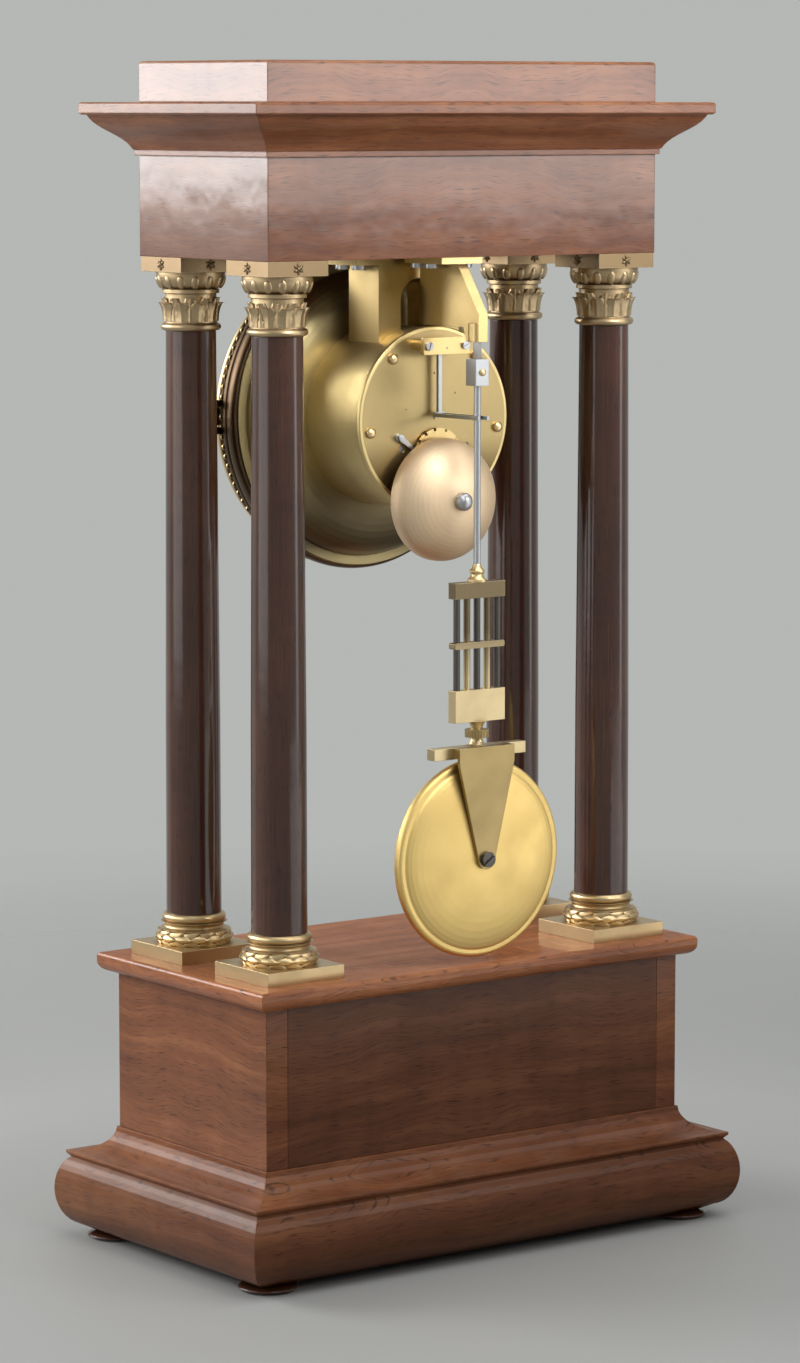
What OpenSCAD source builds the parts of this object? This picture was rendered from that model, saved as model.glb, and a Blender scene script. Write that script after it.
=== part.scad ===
// Portico clock: a mahogany temple of four columns carrying a hung drum movement,
// a glazed dial, a bell and a gridiron pendulum that swings behind the back columns.
// Millimetres. +Z is up, the dial faces -Y, and the origin is at the bottom centre.

/* [Case] */
// Overall height, feet to attic top
case_h = 520; // [510:1:540]
// Width of the base box
base_w = 226; // [222:1:240]
// Depth of the base box
base_d = 114; // [110:1:124]
// Top of the base box above the table
base_top_z = 120; // [112:1:124]
// Top of the plinth moulding above the table
plinth_top_z = 50; // [46:1:56]
// Height of the bun feet
foot_h = 2.5; // [2:0.5:4]
// Radius of a bun foot
foot_r = 13; // [10:0.5:15]
// Thickness of the case boards
board_t = 11; // [9:0.5:13]
// Thickness of the moulded base top
slab_t = 8.5; // [7:0.5:10]

/* [Columns] */
// Spacing of the column centres along the front
column_dx = 178; // [176:0.5:182]
// Spacing of the column centres front to back
column_dy = 65.4; // [64:0.2:68]
// Radius of a column at its foot
column_r = 12.2; // [11:0.1:12.5]
// Radius of a column at its neck
column_neck_r = 11; // [10:0.1:11.5]
// Radius of the tenon at each end of a column
tenon_r = 4; // [3.5:0.25:4.25]
// Height of the gilt column base
column_base_h = 19.5; // [17:0.5:22]
// Height of the gilt capital
capital_h = 32; // [28:0.5:34]
// Side of the square block under a column
block_side = 40; // [38:0.5:41]
// Side of the square top of a capital
abacus_side = 31; // [29:0.5:31]

/* [Entablature] */
// Width of the frieze
frieze_w = 209.6; // [209:0.2:212]
// Depth of the frieze
frieze_d = 97; // [96.6:0.2:99]
// Underside of the frieze above the table
soffit_z = 436; // [434:0.5:438]
// Top of the frieze above the table
frieze_top_z = 479.5; // [477:0.5:483]
// Height of the cornice
cornice_h = 22.9; // [20:0.1:24]
// How far the cornice stands out past the frieze
cornice_out = 19; // [16:0.5:21]

/* [Dial and bezel] */
// Height of the dial centre above the table
dial_z = 365; // [364:0.5:365.5]
// Outer radius of the fixed bezel ring
bezel_r = 70; // [69:0.5:70.5]
// Radius of the enamel dial
dial_r = 57; // [55:0.5:58]
// Front of the door ring, measured along Y
door_front_y = -50; // [-51:0.5:-49.5]
// Length of the minute hand
minute_hand_l = 49; // [44:0.5:50]
// Length of the hour hand
hour_hand_l = 33; // [28:0.5:35]

/* [Movement] */
// Outer radius of the drum case
drum_r = 40; // [40:0.1:40.4]
// Wall of the drum case
drum_t = 1.2; // [0.8:0.1:1.2]
// Outer face of the front plate, measured along Y
plate_front_y = -14; // [-14.5:0.1:-14]
// Outer face of the back plate, measured along Y
plate_back_y = 25; // [25:0.1:25.5]
// Thickness of a plate
plate_t = 2.5; // [2:0.1:2.5]
// Radius of a train pivot
pivot_r = 0.3; // [0.25:0.01:0.32]
// Clearance of a running fit
fit = 0.05; // [0.04:0.005:0.06]

/* [Bell and hammer] */
// Radius of the bell
bell_r = 27; // [26.5:0.25:27.5]
// Depth of the bell, mouth to crown
bell_depth = 16; // [15.5:0.25:17]
// Drop of the bell centre below the dial centre
bell_drop = 35; // [34.8:0.1:35.2]
// Mouth of the bell, measured along Y
bell_mouth_y = 29.5; // [29.4:0.1:30]

/* [Pendulum] */
// Plane in which the pendulum hangs, measured along Y
pendulum_y = 56; // [55.5:0.25:56.5]
// Height of the bob centre above the table
bob_z = 175; // [174.5:0.5:178]
// Radius of the bob
bob_r = 44; // [40:0.5:44]
// Thickness of the bob
bob_t = 12; // [9:0.5:12.5]
// Overall width of the gridiron
gridiron_w = 27; // [25:0.5:30]
// Number of gridiron rods
gridiron_n = 5; // [5:2:5]

/* [Hidden] */
$fn = 64;

slab_top_z = base_top_z + slab_t;
shaft_z0 = slab_top_z + column_base_h;
shaft_z1 = soffit_z - capital_h;
cornice_top_z = frieze_top_z + cornice_h;
soffit_t = 10;
tenon_in = 7;
eps = 0.01;

// Corner name, then the sign of X and of Y
CORNERS = [["front_left", -1, -1], ["front_right", 1, -1], ["back_left", -1, 1], ["back_right", 1, 1]];

// Inner faces of the plates
plate_in0 = plate_front_y + plate_t;
plate_in1 = plate_back_y - plate_t;
plate_r = drum_r - drum_t;

// Tooth proportions in modules, and the share of the pitch that a tooth fills
wheel_add = 1.1;
wheel_ded = 1.4;
wheel_share = 0.44;
leaf_add = 0.7;
leaf_share = 0.34;

// Tooth counts and modules of the going train
barrel_n = 80;
barrel_m = 0.38;
inter_pinion_n = 10;
inter_n = 72;
inter_m = 0.38;
centre_pinion_n = 12;
centre_n = 80;
centre_m = 0.36;
third_pinion_n = 8;
third_n = 75;
third_m = 0.36;
escape_pinion_n = 6;
escape_n = 30;
escape_r = 6.5;

// Tooth counts and modules of the strike train
second_n = 72;
second_m = 0.32;
pin_pinion_n = 8;
pin_n = 60;
pin_m = 0.28;
fly_pinion_n = 6;
pin_circle_r = 7.4;

// Tooth counts and modules of the motion work
cannon_n = 12;
minute_n = 36;
minute_m = 0.5;
minute_pinion_n = 10;
hour_n = 40;
hour_m = 0.48;

// Arbor places, as X and height from the dial centre
function mesh(n, p, m) = m * (n + p) / 2;
function meet(a, b, ra, rb) =
    let (d = norm(b - a), s = (ra * ra - rb * rb + d * d) / (2 * d), e = (b - a) / d)
    a + s * e + sqrt(ra * ra - s * s) * [-e[1], e[0]];
centre_p = [0, 0];
going_p = [17.5, -12.5];
strike_p = [-17.5, -12.5];
escape_p = [0, 20];
anchor_p = [0, 31.3];
inter_p = meet(centre_p, going_p, mesh(inter_n, centre_pinion_n, inter_m),
    mesh(barrel_n, inter_pinion_n, barrel_m));
third_p = meet(centre_p, escape_p, mesh(centre_n, third_pinion_n, centre_m),
    mesh(third_n, escape_pinion_n, third_m));
second_p = strike_p + mesh(barrel_n, inter_pinion_n, barrel_m) * [cos(-15), sin(-15)];
pin_p = second_p + mesh(second_n, pin_pinion_n, second_m) * [sin(20), -cos(20)];
fly_p = pin_p + mesh(pin_n, fly_pinion_n, pin_m) * [cos(-15), sin(-15)];
hammer_p = [-20, -30.5];
minute_p = [0, mesh(cannon_n, minute_n, minute_m)];
bell_p = [0, -bell_drop];

// Stations of the wheels along Y
barrel_y = -9.5;
barrel_tooth_t = 2;
barrel_body_t = 16.5;
barrel_body_r = 13.5;
inter_y = 11;
centre_y = 14.5;
third_y = 18;
escape_y = 6;
second_y = 11;
pin_y = 16;
wheel_t = 1.2;

// Stations between the front plate and the glass
minute_y = -17.5;
hour_y = -20.5;
dial_y = -33;
dial_t = 2;
hour_hand_y = -36.2;
minute_hand_y = -38.6;
hand_t = 0.8;
cup_y = -15;
ring_back_y = -28;
ring_front_y = -43;
glass_t = 1.2;

// Door hinge, and the axis about which the pendulum swings
hinge_x = bezel_r + 2.4;
hinge_y = -46.5;
hinge_pin_r = 0.9;
swing_z = dial_z + anchor_p[1];
swing_rod_r = 1.5;

// Pendulum stations above the table
chop_z0 = 381;
chop_z1 = swing_z - 3.8;
grid_top_z = 296;
grid_bar_h = 7;
grid_low_h = 14;
grid_low_z = 235;
yoke_z = bob_z + bob_r + 0.5;
yoke_h = 5;
yoke_w = 50;

// Screws that pass up into the soffit, as X, Y and the face under which the head sits
hanger_flange_t = 4;
cock_flange_t = 3;
screw_r = 1.8;
SCREWS = concat([for (x = [-29, 29], y = [-3, 9]) [x, y, soffit_z - hanger_flange_t]],
    [for (x = [-7.5, 7.5], y = [23, 33]) [x, y, soffit_z - cock_flange_t]]);

// Arbors whose pivots run in both plates
PIVOTS = [inter_p, third_p, escape_p, pin_p, fly_p];

// Bracket behind the bob
bracket_y0 = pendulum_y + bob_t / 2 + 0.05;
bracket_t = 1.6;

// Angles of the hands at rest, clockwise from twelve
minute_angle = 60;
hour_angle = 305;

MAHOGANY = "#6b3a26";
EBONISED = "#3a2119";
GILT = "#d3ab5c";
BRASS = "#c49a4a";
BRONZE = "#4a3a28";
STEEL = "#8c9096";
BLUED = "#23304f";
ENAMEL = "#f2efe6";
GLASS = "#cfe0e6";

// Points along an oval, centre c, from angle a0 to a1 in n steps
function oval(c, rx, ry, a0, a1, n) =
    [for (i = [0:n]) let (a = a0 + (a1 - a0) * i / n) [c[0] + rx * cos(a), c[1] + ry * sin(a)]];

// Both flanks of a moulding, where each point is [out, height] from a face at half
function both_flanks(half, profile) = concat(
    [for (p = profile) [half + p[0], p[1]]],
    [for (i = [len(profile) - 1:-1:0]) [-half - profile[i][0], profile[i][1]]]
);

// A rectangular block whose four sides carry one moulding, mitred at the corners
module moulded(w, d, profile) {
    intersection() {
        rotate([90, 0, 0]) translate([0, 0, -d]) linear_extrude(2 * d) polygon(both_flanks(w / 2, profile));
        rotate([90, 0, 90]) translate([0, 0, -w]) linear_extrude(2 * w) polygon(both_flanks(d / 2, profile));
    }
}

// A box centred on X and Y
module box(w, d, z0, z1) {
    translate([-w / 2, -d / 2, z0]) cube([w, d, z1 - z0]);
}

// A box from one corner to the other
module span(a, b) {
    translate(a) cube(b - a);
}

// A drawing in X and height, given depth from y0 to y1
module between(y0, y1) {
    translate([0, y1, 0]) rotate([90, 0, 0]) linear_extrude(y1 - y0) children();
}

// A profile of [radius, Y] points, turned about an axis along Y at p from the dial centre
module turned(p, profile) {
    translate([p[0], 0, dial_z + p[1]]) rotate([-90, 0, 0]) rotate_extrude() polygon(profile);
}

// A round bar along Y at p from the dial centre
module bar(p, r, y0, y1) {
    translate([p[0], y0, dial_z + p[1]]) rotate([-90, 0, 0]) cylinder(r = r, h = y1 - y0);
}

// A round bar upright at [x, y]
module post(p, r, z0, z1) {
    translate([p[0], p[1], z0]) cylinder(r = r, h = z1 - z0);
}

// Copies at the four columns
module at_columns() {
    for (c = CORNERS) translate([c[1] * column_dx / 2, c[2] * column_dy / 2, 0]) children();
}

// Outline of a toothed wheel, with a tooth centred on the angle phase
module teeth(n, m, phase, share = wheel_share, add = wheel_add, ded = wheel_ded) {
    rp = n * m / 2;
    half = 180 / n * share;
    tip = half * 0.45;
    flank = [[rp - ded * m, -half], [rp, -half], [rp + add * m, -tip],
        [rp + add * m, tip], [rp, half], [rp - ded * m, half]];
    polygon([for (i = [0:n - 1]) for (f = flank)
        let (a = phase + 360 * i / n + f[1]) f[0] * [cos(a), sin(a)]]);
}

// Angle of the line from one arbor to another
function bearing(a, b) = atan2(b[1] - a[1], b[0] - a[0]);

// A crossed-out wheel with a gap facing the arbor it drives
module wheel(p, driven, n, m, y0, t, arms, hub_r) {
    rim_r = n * m / 2 - wheel_ded * m - 1.2;
    arm_w = 1.6;
    translate([0, 0, dial_z]) between(y0, y0 + t) translate(p) {
        difference() {
            teeth(n, m, bearing(p, driven) + 180 / n);
            circle(r = rim_r);
        }
        circle(r = hub_r);
        for (i = [0:arms - 1]) rotate(360 * i / arms) translate([0, -arm_w / 2]) square([rim_r + 0.2, arm_w]);
    }
}

// A pinion with a leaf facing the arbor that drives it
module pinion(p, driver, n, m, y0, t) {
    translate([0, 0, dial_z]) between(y0, y0 + t) translate(p)
        teeth(n, m, bearing(p, driver), leaf_share, leaf_add, wheel_add + 0.35);
}

// An arbor between the plates, with a pivot in each
module arbor(p, r) {
    bar(p, r, plate_in0 + 0.3, plate_in1 - 0.3);
    bar(p, pivot_r, plate_front_y + 0.5, plate_back_y - 0.5);
}

// Case

// Four turned bun feet
module feet() {
    spread = [base_w / 2 + 1, base_d / 2 + 2];
    flat_r = foot_r * 0.72;
    profile = concat([[0, 0], [flat_r, 0]],
        oval([flat_r, foot_h / 2], foot_r - flat_r, foot_h / 2, -60, 60, 8), [[flat_r, foot_h], [0, foot_h]]);
    color(EBONISED) for (x = [-1, 1], y = [-1, 1])
        translate([x * spread[0], y * spread[1], 0]) rotate_extrude() polygon(profile);
}

// Plinth: a bold torus below, a fillet, then a hollow that sweeps up to the base box
module plinth_moulding() {
    fillet_z = plinth_top_z - 11.5;
    torus_mid = (foot_h + fillet_z) / 2 + 0.5;
    torus_half = fillet_z - torus_mid - 1.5;
    profile = concat([[8, foot_h]],
        oval([12, torus_mid], 9.3, torus_half, -84, 66, 14),
        [[17.4, fillet_z - 1.2], [17.4, fillet_z]],
        oval([17, plinth_top_z], 16, plinth_top_z - fillet_z, 270, 180, 8));
    color(MAHOGANY) difference() {
        moulded(base_w, base_d, profile);
        box(base_w - 2 * board_t, base_d - 2 * board_t, foot_h - 1, plinth_top_z + 1);
    }
}

// Board that closes the plinth underneath
module base_floor() {
    color(MAHOGANY) box(base_w - 2 * board_t - 0.2, base_d - 2 * board_t - 0.2, foot_h + 2, foot_h + 10);
}

// Front board and two end boards of the base, open at the back
module base_carcass() {
    color(MAHOGANY) difference() {
        box(base_w, base_d, plinth_top_z, base_top_z);
        span([-base_w / 2 + board_t, -base_d / 2 + board_t, plinth_top_z - 1],
            [base_w / 2 - board_t, base_d, base_top_z + 1]);
    }
}

// Back board, let in between the end boards
module base_back_board() {
    color(MAHOGANY) span([-base_w / 2 + board_t + 0.15, base_d / 2 - board_t, plinth_top_z],
        [base_w / 2 - board_t - 0.15, base_d / 2, base_top_z]);
}

// Moulded top on which the columns stand
module base_top() {
    profile = concat(oval([2.2, base_top_z + 4.6], 4.8, 4.6, -90, 0, 6),
        oval([5.2, slab_top_z - 1.8], 1.8, 1.8, 0, 90, 4));
    color(MAHOGANY) difference() {
        moulded(base_w, base_d, profile);
        at_columns() post([0, 0], tenon_r + fit, slab_top_z - tenon_in, slab_top_z + 1);
    }
}

// Gilt bases: square block, torus, hollow and a smaller torus
module column_bases() {
    block_h = 6;
    z0 = slab_top_z + block_h;
    mid_z = z0 + 6.2;
    profile = concat([[tenon_r + fit, z0 - eps]], oval([13.4, z0 + 3], 3.2, 3, -90, 90, 8),
        oval([16.4, mid_z + 1.8], 3.4, 1.8, 250, 120, 6),
        oval([12.2, shaft_z0 - 1.9], 1.9, 1.9, -70, 90, 6), [[tenon_r + fit, shaft_z0]]);
    color(GILT) at_columns() {
        rotate_extrude() polygon(profile);
        difference() {
            box(block_side, block_side, slab_top_z, z0);
            post([0, 0], tenon_r + fit, slab_top_z - 1, z0 + 1);
        }
    }
}

// Shaft with a slight taper and a turned tenon at each end
module column(corner) {
    low = slab_top_z - tenon_in + 0.2;
    high = soffit_z + soffit_t - 2;
    profile = [[0, low], [tenon_r, low], [tenon_r, shaft_z0], [column_r, shaft_z0],
        [column_r - 0.15, shaft_z0 + (shaft_z1 - shaft_z0) / 3], [column_neck_r, shaft_z1],
        [tenon_r, shaft_z1], [tenon_r, high], [0, high]];
    color(EBONISED) translate([corner[1] * column_dx / 2, corner[2] * column_dy / 2, 0])
        rotate_extrude() polygon(profile);
}

// Gilt capitals: necking bead, bell and square abacus
module capitals() {
    abacus_h = 6.5;
    z1 = soffit_z - abacus_h;
    bead = 1.7;
    neck_r = column_neck_r + 0.5;
    profile = concat([[tenon_r + fit, shaft_z1]], oval([neck_r, shaft_z1 + bead], bead, bead, -90, 90, 6),
        [[neck_r - 0.3, z1 - 9.5], [neck_r + 1, z1 - 9.2], [neck_r + 1, z1 - 7.6], [neck_r, z1 - 7.4]],
        oval([neck_r, z1 - 1], 3.6, 6, -80, 0, 8), [[neck_r + 3.6, z1 + eps], [tenon_r + fit, z1 + eps]]);
    color(GILT) at_columns() {
        rotate_extrude() polygon(profile);
        difference() {
            box(abacus_side, abacus_side, z1, soffit_z);
            post([0, 0], tenon_r + fit, z1 - 1, soffit_z + 1);
        }
    }
}

// Board that closes the frieze below and carries the movement
module soffit_board() {
    color(MAHOGANY) difference() {
        box(frieze_w - 2 * board_t - 0.2, frieze_d - 2 * board_t - 0.2, soffit_z, soffit_z + soffit_t);
        at_columns() post([0, 0], tenon_r + fit, soffit_z - 1, soffit_z + soffit_t + 1);
        for (s = SCREWS) post(s, screw_r, soffit_z - 1, soffit_z + soffit_t + 1);
    }
}

// Four boards of the frieze, veneered as one
module frieze_box() {
    color(MAHOGANY) difference() {
        box(frieze_w, frieze_d, soffit_z, frieze_top_z);
        box(frieze_w - 2 * board_t, frieze_d - 2 * board_t, soffit_z - 1, frieze_top_z + 1);
    }
}

// Cornice: fillet, an ogee that swells outward, and a thin square-edged shelf
module cornice() {
    shelf_z = cornice_top_z - 5.4;
    rise = shelf_z - frieze_top_z - 2.5;
    run = cornice_out - 4.5;
    profile = concat([[1.5, frieze_top_z], [1.5, frieze_top_z + 2.5]],
        [for (i = [0:10]) let (t = i / 10)
            [2 + run * (t - sin(360 * t) / 14), frieze_top_z + 2.5 + rise * t]],
        [[cornice_out - 1, shelf_z], [cornice_out, shelf_z + 0.8]],
        oval([cornice_out - 1.2, cornice_top_z - 1.2], 1.2, 1.2, 0, 90, 3));
    color(MAHOGANY) moulded(frieze_w, frieze_d, profile);
}

// Attic block with a softened upper edge
module attic() {
    profile = [[0, cornice_top_z], [0, case_h - 1.2], [-0.4, case_h - 0.4], [-1.2, case_h]];
    color(MAHOGANY) moulded(frieze_w, frieze_d, profile);
}

// What hangs from the soffit

// Saddle: two cheeks on the drum, an arch between them and a flange above
module hanger() {
    y0 = -8;
    y1 = 14;
    cheek_w = 44;
    arch_w = 20;
    color(BRASS) difference() {
        between(y0, y1) difference() {
            union() {
                translate([-34, soffit_z - hanger_flange_t]) square([68, hanger_flange_t]);
                translate([-cheek_w / 2, dial_z + 30]) square([cheek_w, soffit_z - dial_z - 31]);
            }
            translate([0, dial_z]) circle(r = drum_r);
            translate([-arch_w / 2, dial_z]) square([arch_w, soffit_z - dial_z - 20]);
            translate([0, soffit_z - 20]) circle(r = arch_w / 2);
        }
        for (s = SCREWS) post(s, screw_r, dial_z, soffit_z + 1);
    }
}

// Slotted screws, one solid each
module soffit_screws() {
    color(STEEL) for (s = SCREWS) difference() {
        union() {
            post(s, screw_r, s[2], soffit_z + soffit_t - 1);
            post(s, 3.2, s[2] - 2, s[2]);
        }
        translate([s[0], s[1], s[2] - 2]) cube([8, 0.7, 1.4], center = true);
    }
}

// Gallows bracket that carries the pendulum behind the back columns
module suspension_cock() {
    half = 2.5;
    nose = pendulum_y + 4;
    slit = 0.15;
    under = soffit_z - cock_flange_t;
    boss_z = swing_z + 3.6;
    arm_z = dial_z + 41;
    web = [[18, under + eps], [45, under + eps], [nose - 3, arm_z + 10], [nose, arm_z + 6],
        [nose, boss_z], [pendulum_y - 4.5, boss_z], [pendulum_y - 7, arm_z], [18, arm_z]];
    color(BRASS) difference() {
        union() {
            rotate([90, 0, 90]) translate([0, 0, -half]) linear_extrude(2 * half) polygon(web);
            span([-11, 18, under], [11, 45, soffit_z]);
            post([0, pendulum_y], 4, boss_z, boss_z + 8);
        }
        span([-slit, pendulum_y - 3.2, swing_z], [slit, pendulum_y + 3.2, swing_z + 10]);
        for (s = SCREWS) post(s, screw_r, dial_z, soffit_z + 1);
    }
}

// Flat strip of spring steel in the slit of the cock
module suspension_spring() {
    color(STEEL) span([-0.1, pendulum_y - 3, chop_z1 + 0.3], [0.1, pendulum_y + 3, swing_z + 9.8]);
}

// Movement frame

// Open tube round the plates, with a rolled edge at the back
module drum_case() {
    inner = drum_r - drum_t;
    color(BRASS) turned([0, 0], concat([[inner, cup_y], [drum_r, cup_y], [drum_r, plate_back_y - 3]],
        oval([drum_r - 0.2, plate_back_y - 1.5], 0.9, 1.5, -70, 70, 6), [[inner, plate_back_y]]));
}

// Plate behind the dial, with the stud of the minute wheel
module front_plate() {
    color(BRASS) {
        difference() {
            bar([0, 0], plate_r, plate_front_y, plate_in0);
            for (p = concat(PIVOTS, [anchor_p, second_p, hammer_p]))
                bar(p, pivot_r + fit, plate_front_y - 1, plate_in0 + 1);
            bar(centre_p, 1.2 + fit, plate_front_y - 1, plate_in0 + 1);
            for (p = [going_p, strike_p]) bar(p, 2.5 + fit, plate_front_y - 1, plate_in0 + 1);
        }
        bar(minute_p, 1, hour_y - 2, plate_front_y + eps);
    }
}

// Plate that shows from behind
module back_plate() {
    color(BRASS) difference() {
        bar([0, 0], plate_r, plate_in1, plate_back_y);
        for (p = concat(PIVOTS, [centre_p])) bar(p, pivot_r + fit, plate_in1 - 1, plate_back_y + 1);
        for (p = [second_p, hammer_p]) bar(p, 1 + fit, plate_in1 - 1, plate_back_y + 1);
        for (p = [going_p, strike_p]) bar(p, 1.5 + fit, plate_in1 - 1, plate_back_y + 1);
        bar(anchor_p, 2.4, plate_in1 - 1, plate_back_y + 1);
        bar(bell_p, 1.5, plate_in1 - 1, plate_back_y + 1);
    }
}

// Four turned pillars between the plates
module plate_pillars() {
    at_r = 35;
    mid = (plate_in0 + plate_in1) / 2;
    profile = concat([[0, plate_in0], [2, plate_in0], [2, plate_in0 + 2], [1.6, plate_in0 + 3]],
        oval([1.6, mid], 0.4, 3, -90, 90, 6),
        [[1.6, plate_in1 - 3], [2, plate_in1 - 2], [2, plate_in1], [0, plate_in1]]);
    color(BRASS) for (a = [50, 130, 188, 352]) turned(at_r * [cos(a), sin(a)], profile);
}

// Bridge over the hole in the back plate, with the rear pivot of the anchor
module pallet_cock() {
    bridge_y = 32;
    color(BRASS) {
        difference() {
            translate([0, 0, dial_z]) between(bridge_y, bridge_y + 2.2)
                translate([-12.5, 28.5]) square([25, 7.5]);
            bar(anchor_p, pivot_r + fit, bridge_y - 1, bridge_y + 4);
        }
        for (x = [-10, 10]) bar([x, 32.3], 2.4, plate_back_y, bridge_y + eps);
    }
}

// Dial group

// Spun dish round the drum, whose flange closes the back of the bezel ring
module dial_cup() {
    wall = 1;
    rim = bezel_r - 6;
    flange_r = bezel_r - 2;
    sweep = [drum_r + 3, ring_back_y + wall];
    rx = rim - sweep[0];
    ry = cup_y - sweep[1];
    color(BRONZE) turned([0, 0], concat(
        [[drum_r, cup_y]], oval(sweep, rx, ry, 90, 0, 10),
        [[flange_r, ring_back_y + wall], [flange_r, ring_back_y], [rim - wall, ring_back_y]],
        oval(sweep, rx - wall, ry - wall, 0, 90, 10), [[drum_r, cup_y - wall]]));
}

// Fixed gilt ring: hollow-backed, moulded in front
module bezel_ring() {
    inner = dial_r + 1;
    profile = concat([[bezel_r - 6, ring_back_y], [bezel_r - 1.5, ring_back_y]],
        oval([bezel_r - 1.5, ring_back_y - 3.5], 1.5, 3.5, 90, -40, 8),
        oval([bezel_r - 2.8, ring_back_y - 9], 1.9, 2.4, 60, -60, 6),
        [[bezel_r - 3.5, ring_front_y + 1.5], [bezel_r - 5, ring_front_y], [inner, ring_front_y],
        [inner, ring_front_y + 2], [bezel_r - 6, ring_front_y + 2]]);
    color(GILT) difference() {
        union() {
            turned([0, 0], profile);
            for (z = [dial_z - 7.5, dial_z + 4.5]) {
                span([bezel_r - 5, ring_front_y + eps, z], [hinge_x, ring_front_y + 3.4, z + 3]);
                span([hinge_x - 2, hinge_y, z], [hinge_x + 2, ring_front_y + 3.4, z + 3]);
                post([hinge_x, hinge_y], 2, z, z + 3);
            }
        }
        post([hinge_x, hinge_y], hinge_pin_r, dial_z - 20, dial_z + 20);
        bar([0, 0], inner - eps, ring_front_y - 9, ring_back_y + 1);
    }
}

// Hinged ring that holds the glass
module bezel_door() {
    back = ring_front_y - 0.3;
    inner = dial_r - 4;
    rim = bezel_r - 4;
    profile = concat([[inner, back - 1.2], [inner + 3.5, back - 1.2], [inner + 3.5, back], [rim, back]],
        oval([rim - 3, back - 3.2], 3, 3.2, 40, -90, 8),
        oval([inner + 3.6, door_front_y + 1.8], 3.2, 1.8, -70, -160, 6));
    color(GILT) {
        turned([0, 0], profile);
        difference() {
            union() {
                span([rim - 3, back - 4.4, dial_z - 4], [hinge_x - 1, back - 2, dial_z + 4]);
                post([hinge_x, hinge_y], 2, dial_z - 4, dial_z + 4);
            }
            post([hinge_x, hinge_y], hinge_pin_r + fit, dial_z - 20, dial_z + 20);
        }
    }
}

// Domed glass, bedded in the rebate of the door from behind
module bezel_glass() {
    back = ring_front_y - 0.3;
    r = dial_r - 0.7;
    dome_r = dial_r - 4.6;
    rise = 3;
    dome = (dome_r * dome_r + rise * rise) / (2 * rise);
    front = [for (i = [0:8]) let (x = dome_r * i / 8)
        [x, back - glass_t - rise + dome - sqrt(dome * dome - x * x)]];
    rear = [for (i = [8:-1:0]) front[i] + [0, glass_t]];
    color(GLASS, 0.35) turned([0, 0], concat(front, [[r, back - glass_t], [r, back]], rear));
}

// Pin through the knuckles of the door hinge
module bezel_hinge_pin() {
    color(STEEL) post([hinge_x, hinge_y], hinge_pin_r, dial_z - 8.5, dial_z + 8.5);
}

// Slightly domed enamel dial on three feet, with holes for the hands and two keys
module dial() {
    foot_ring_r = 30;
    color(ENAMEL) {
        difference() {
            turned([0, 0], [[0, dial_y], [dial_r * 0.5, dial_y + 0.3], [dial_r, dial_y + 1],
                [dial_r, dial_y + dial_t], [0, dial_y + dial_t]]);
            bar(centre_p, 3.8, dial_y - 2, dial_y + 4);
            for (p = [going_p, strike_p]) bar(p, 3.2, dial_y - 2, dial_y + 4);
        }
        for (a = [80, 200, 340])
            bar(foot_ring_r * [cos(a), sin(a)], 1.2, dial_y + dial_t - eps, plate_front_y);
    }
}

// Outline of a moon hand that points up: boss, tapered stem, pierced moon and tip
module moon_hand(length, boss_r, moon_r) {
    moon_y = length * 0.72;
    stem_end = moon_y - moon_r + 0.6;
    tip_start = moon_y + moon_r - 0.6;
    difference() {
        union() {
            circle(r = boss_r);
            polygon([[-1.5, 0], [1.5, 0], [0.7, stem_end], [-0.7, stem_end]]);
            translate([0, moon_y]) circle(r = moon_r);
            polygon([[-1, tip_start], [1, tip_start], [0.25, length], [-0.25, length]]);
        }
        translate([0, moon_y + moon_r * 0.18]) circle(r = moon_r * 0.62);
    }
}

// Minute hand, pressed on the end of the cannon tube
module minute_hand() {
    color(BLUED) difference() {
        translate([0, 0, dial_z]) between(minute_hand_y, minute_hand_y + hand_t)
            rotate(-minute_angle) moon_hand(minute_hand_l, 4.2, 3.6);
        bar(centre_p, 1.9, minute_hand_y - 1, minute_hand_y + 2);
    }
}

// Hour hand, pressed on the hour pipe
module hour_hand() {
    color(BLUED) difference() {
        translate([0, 0, dial_z]) between(hour_hand_y, hour_hand_y + hand_t)
            rotate(-hour_angle) moon_hand(hour_hand_l, 5, 4.6);
        bar(centre_p, 3, hour_hand_y - 1, hour_hand_y + 2);
    }
}

// Cannon pinion on the centre arbor
module cannon_pinion() {
    color(STEEL) difference() {
        union() {
            pinion(centre_p, minute_p, cannon_n, minute_m, minute_y - 0.5, 2);
            bar(centre_p, 1.9, minute_hand_y - 1, plate_front_y - 0.4);
        }
        bar(centre_p, 1.2, minute_hand_y - 2, plate_front_y + 1);
    }
}

// Minute wheel and its pinion, on a stud
module minute_wheel() {
    color(BRASS) difference() {
        union() {
            wheel(minute_p, centre_p, minute_n, minute_m, minute_y, 1, 3, 2.6);
            pinion(minute_p, centre_p, minute_pinion_n, hour_m, hour_y - 0.5, 3.6);
        }
        bar(minute_p, 1 + fit, hour_y - 3, plate_front_y);
    }
}

// Hour wheel with its pipe, running on the cannon tube
module hour_wheel() {
    color(BRASS) difference() {
        union() {
            translate([0, 0, dial_z]) between(hour_y, hour_y + 1)
                teeth(hour_n, hour_m, bearing(centre_p, minute_p) + 180 / hour_n);
            bar(centre_p, 3, hour_hand_y, hour_y + 0.5);
        }
        bar(centre_p, 1.9 + fit, hour_hand_y - 1, hour_y + 2);
    }
}

// Going train

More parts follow.
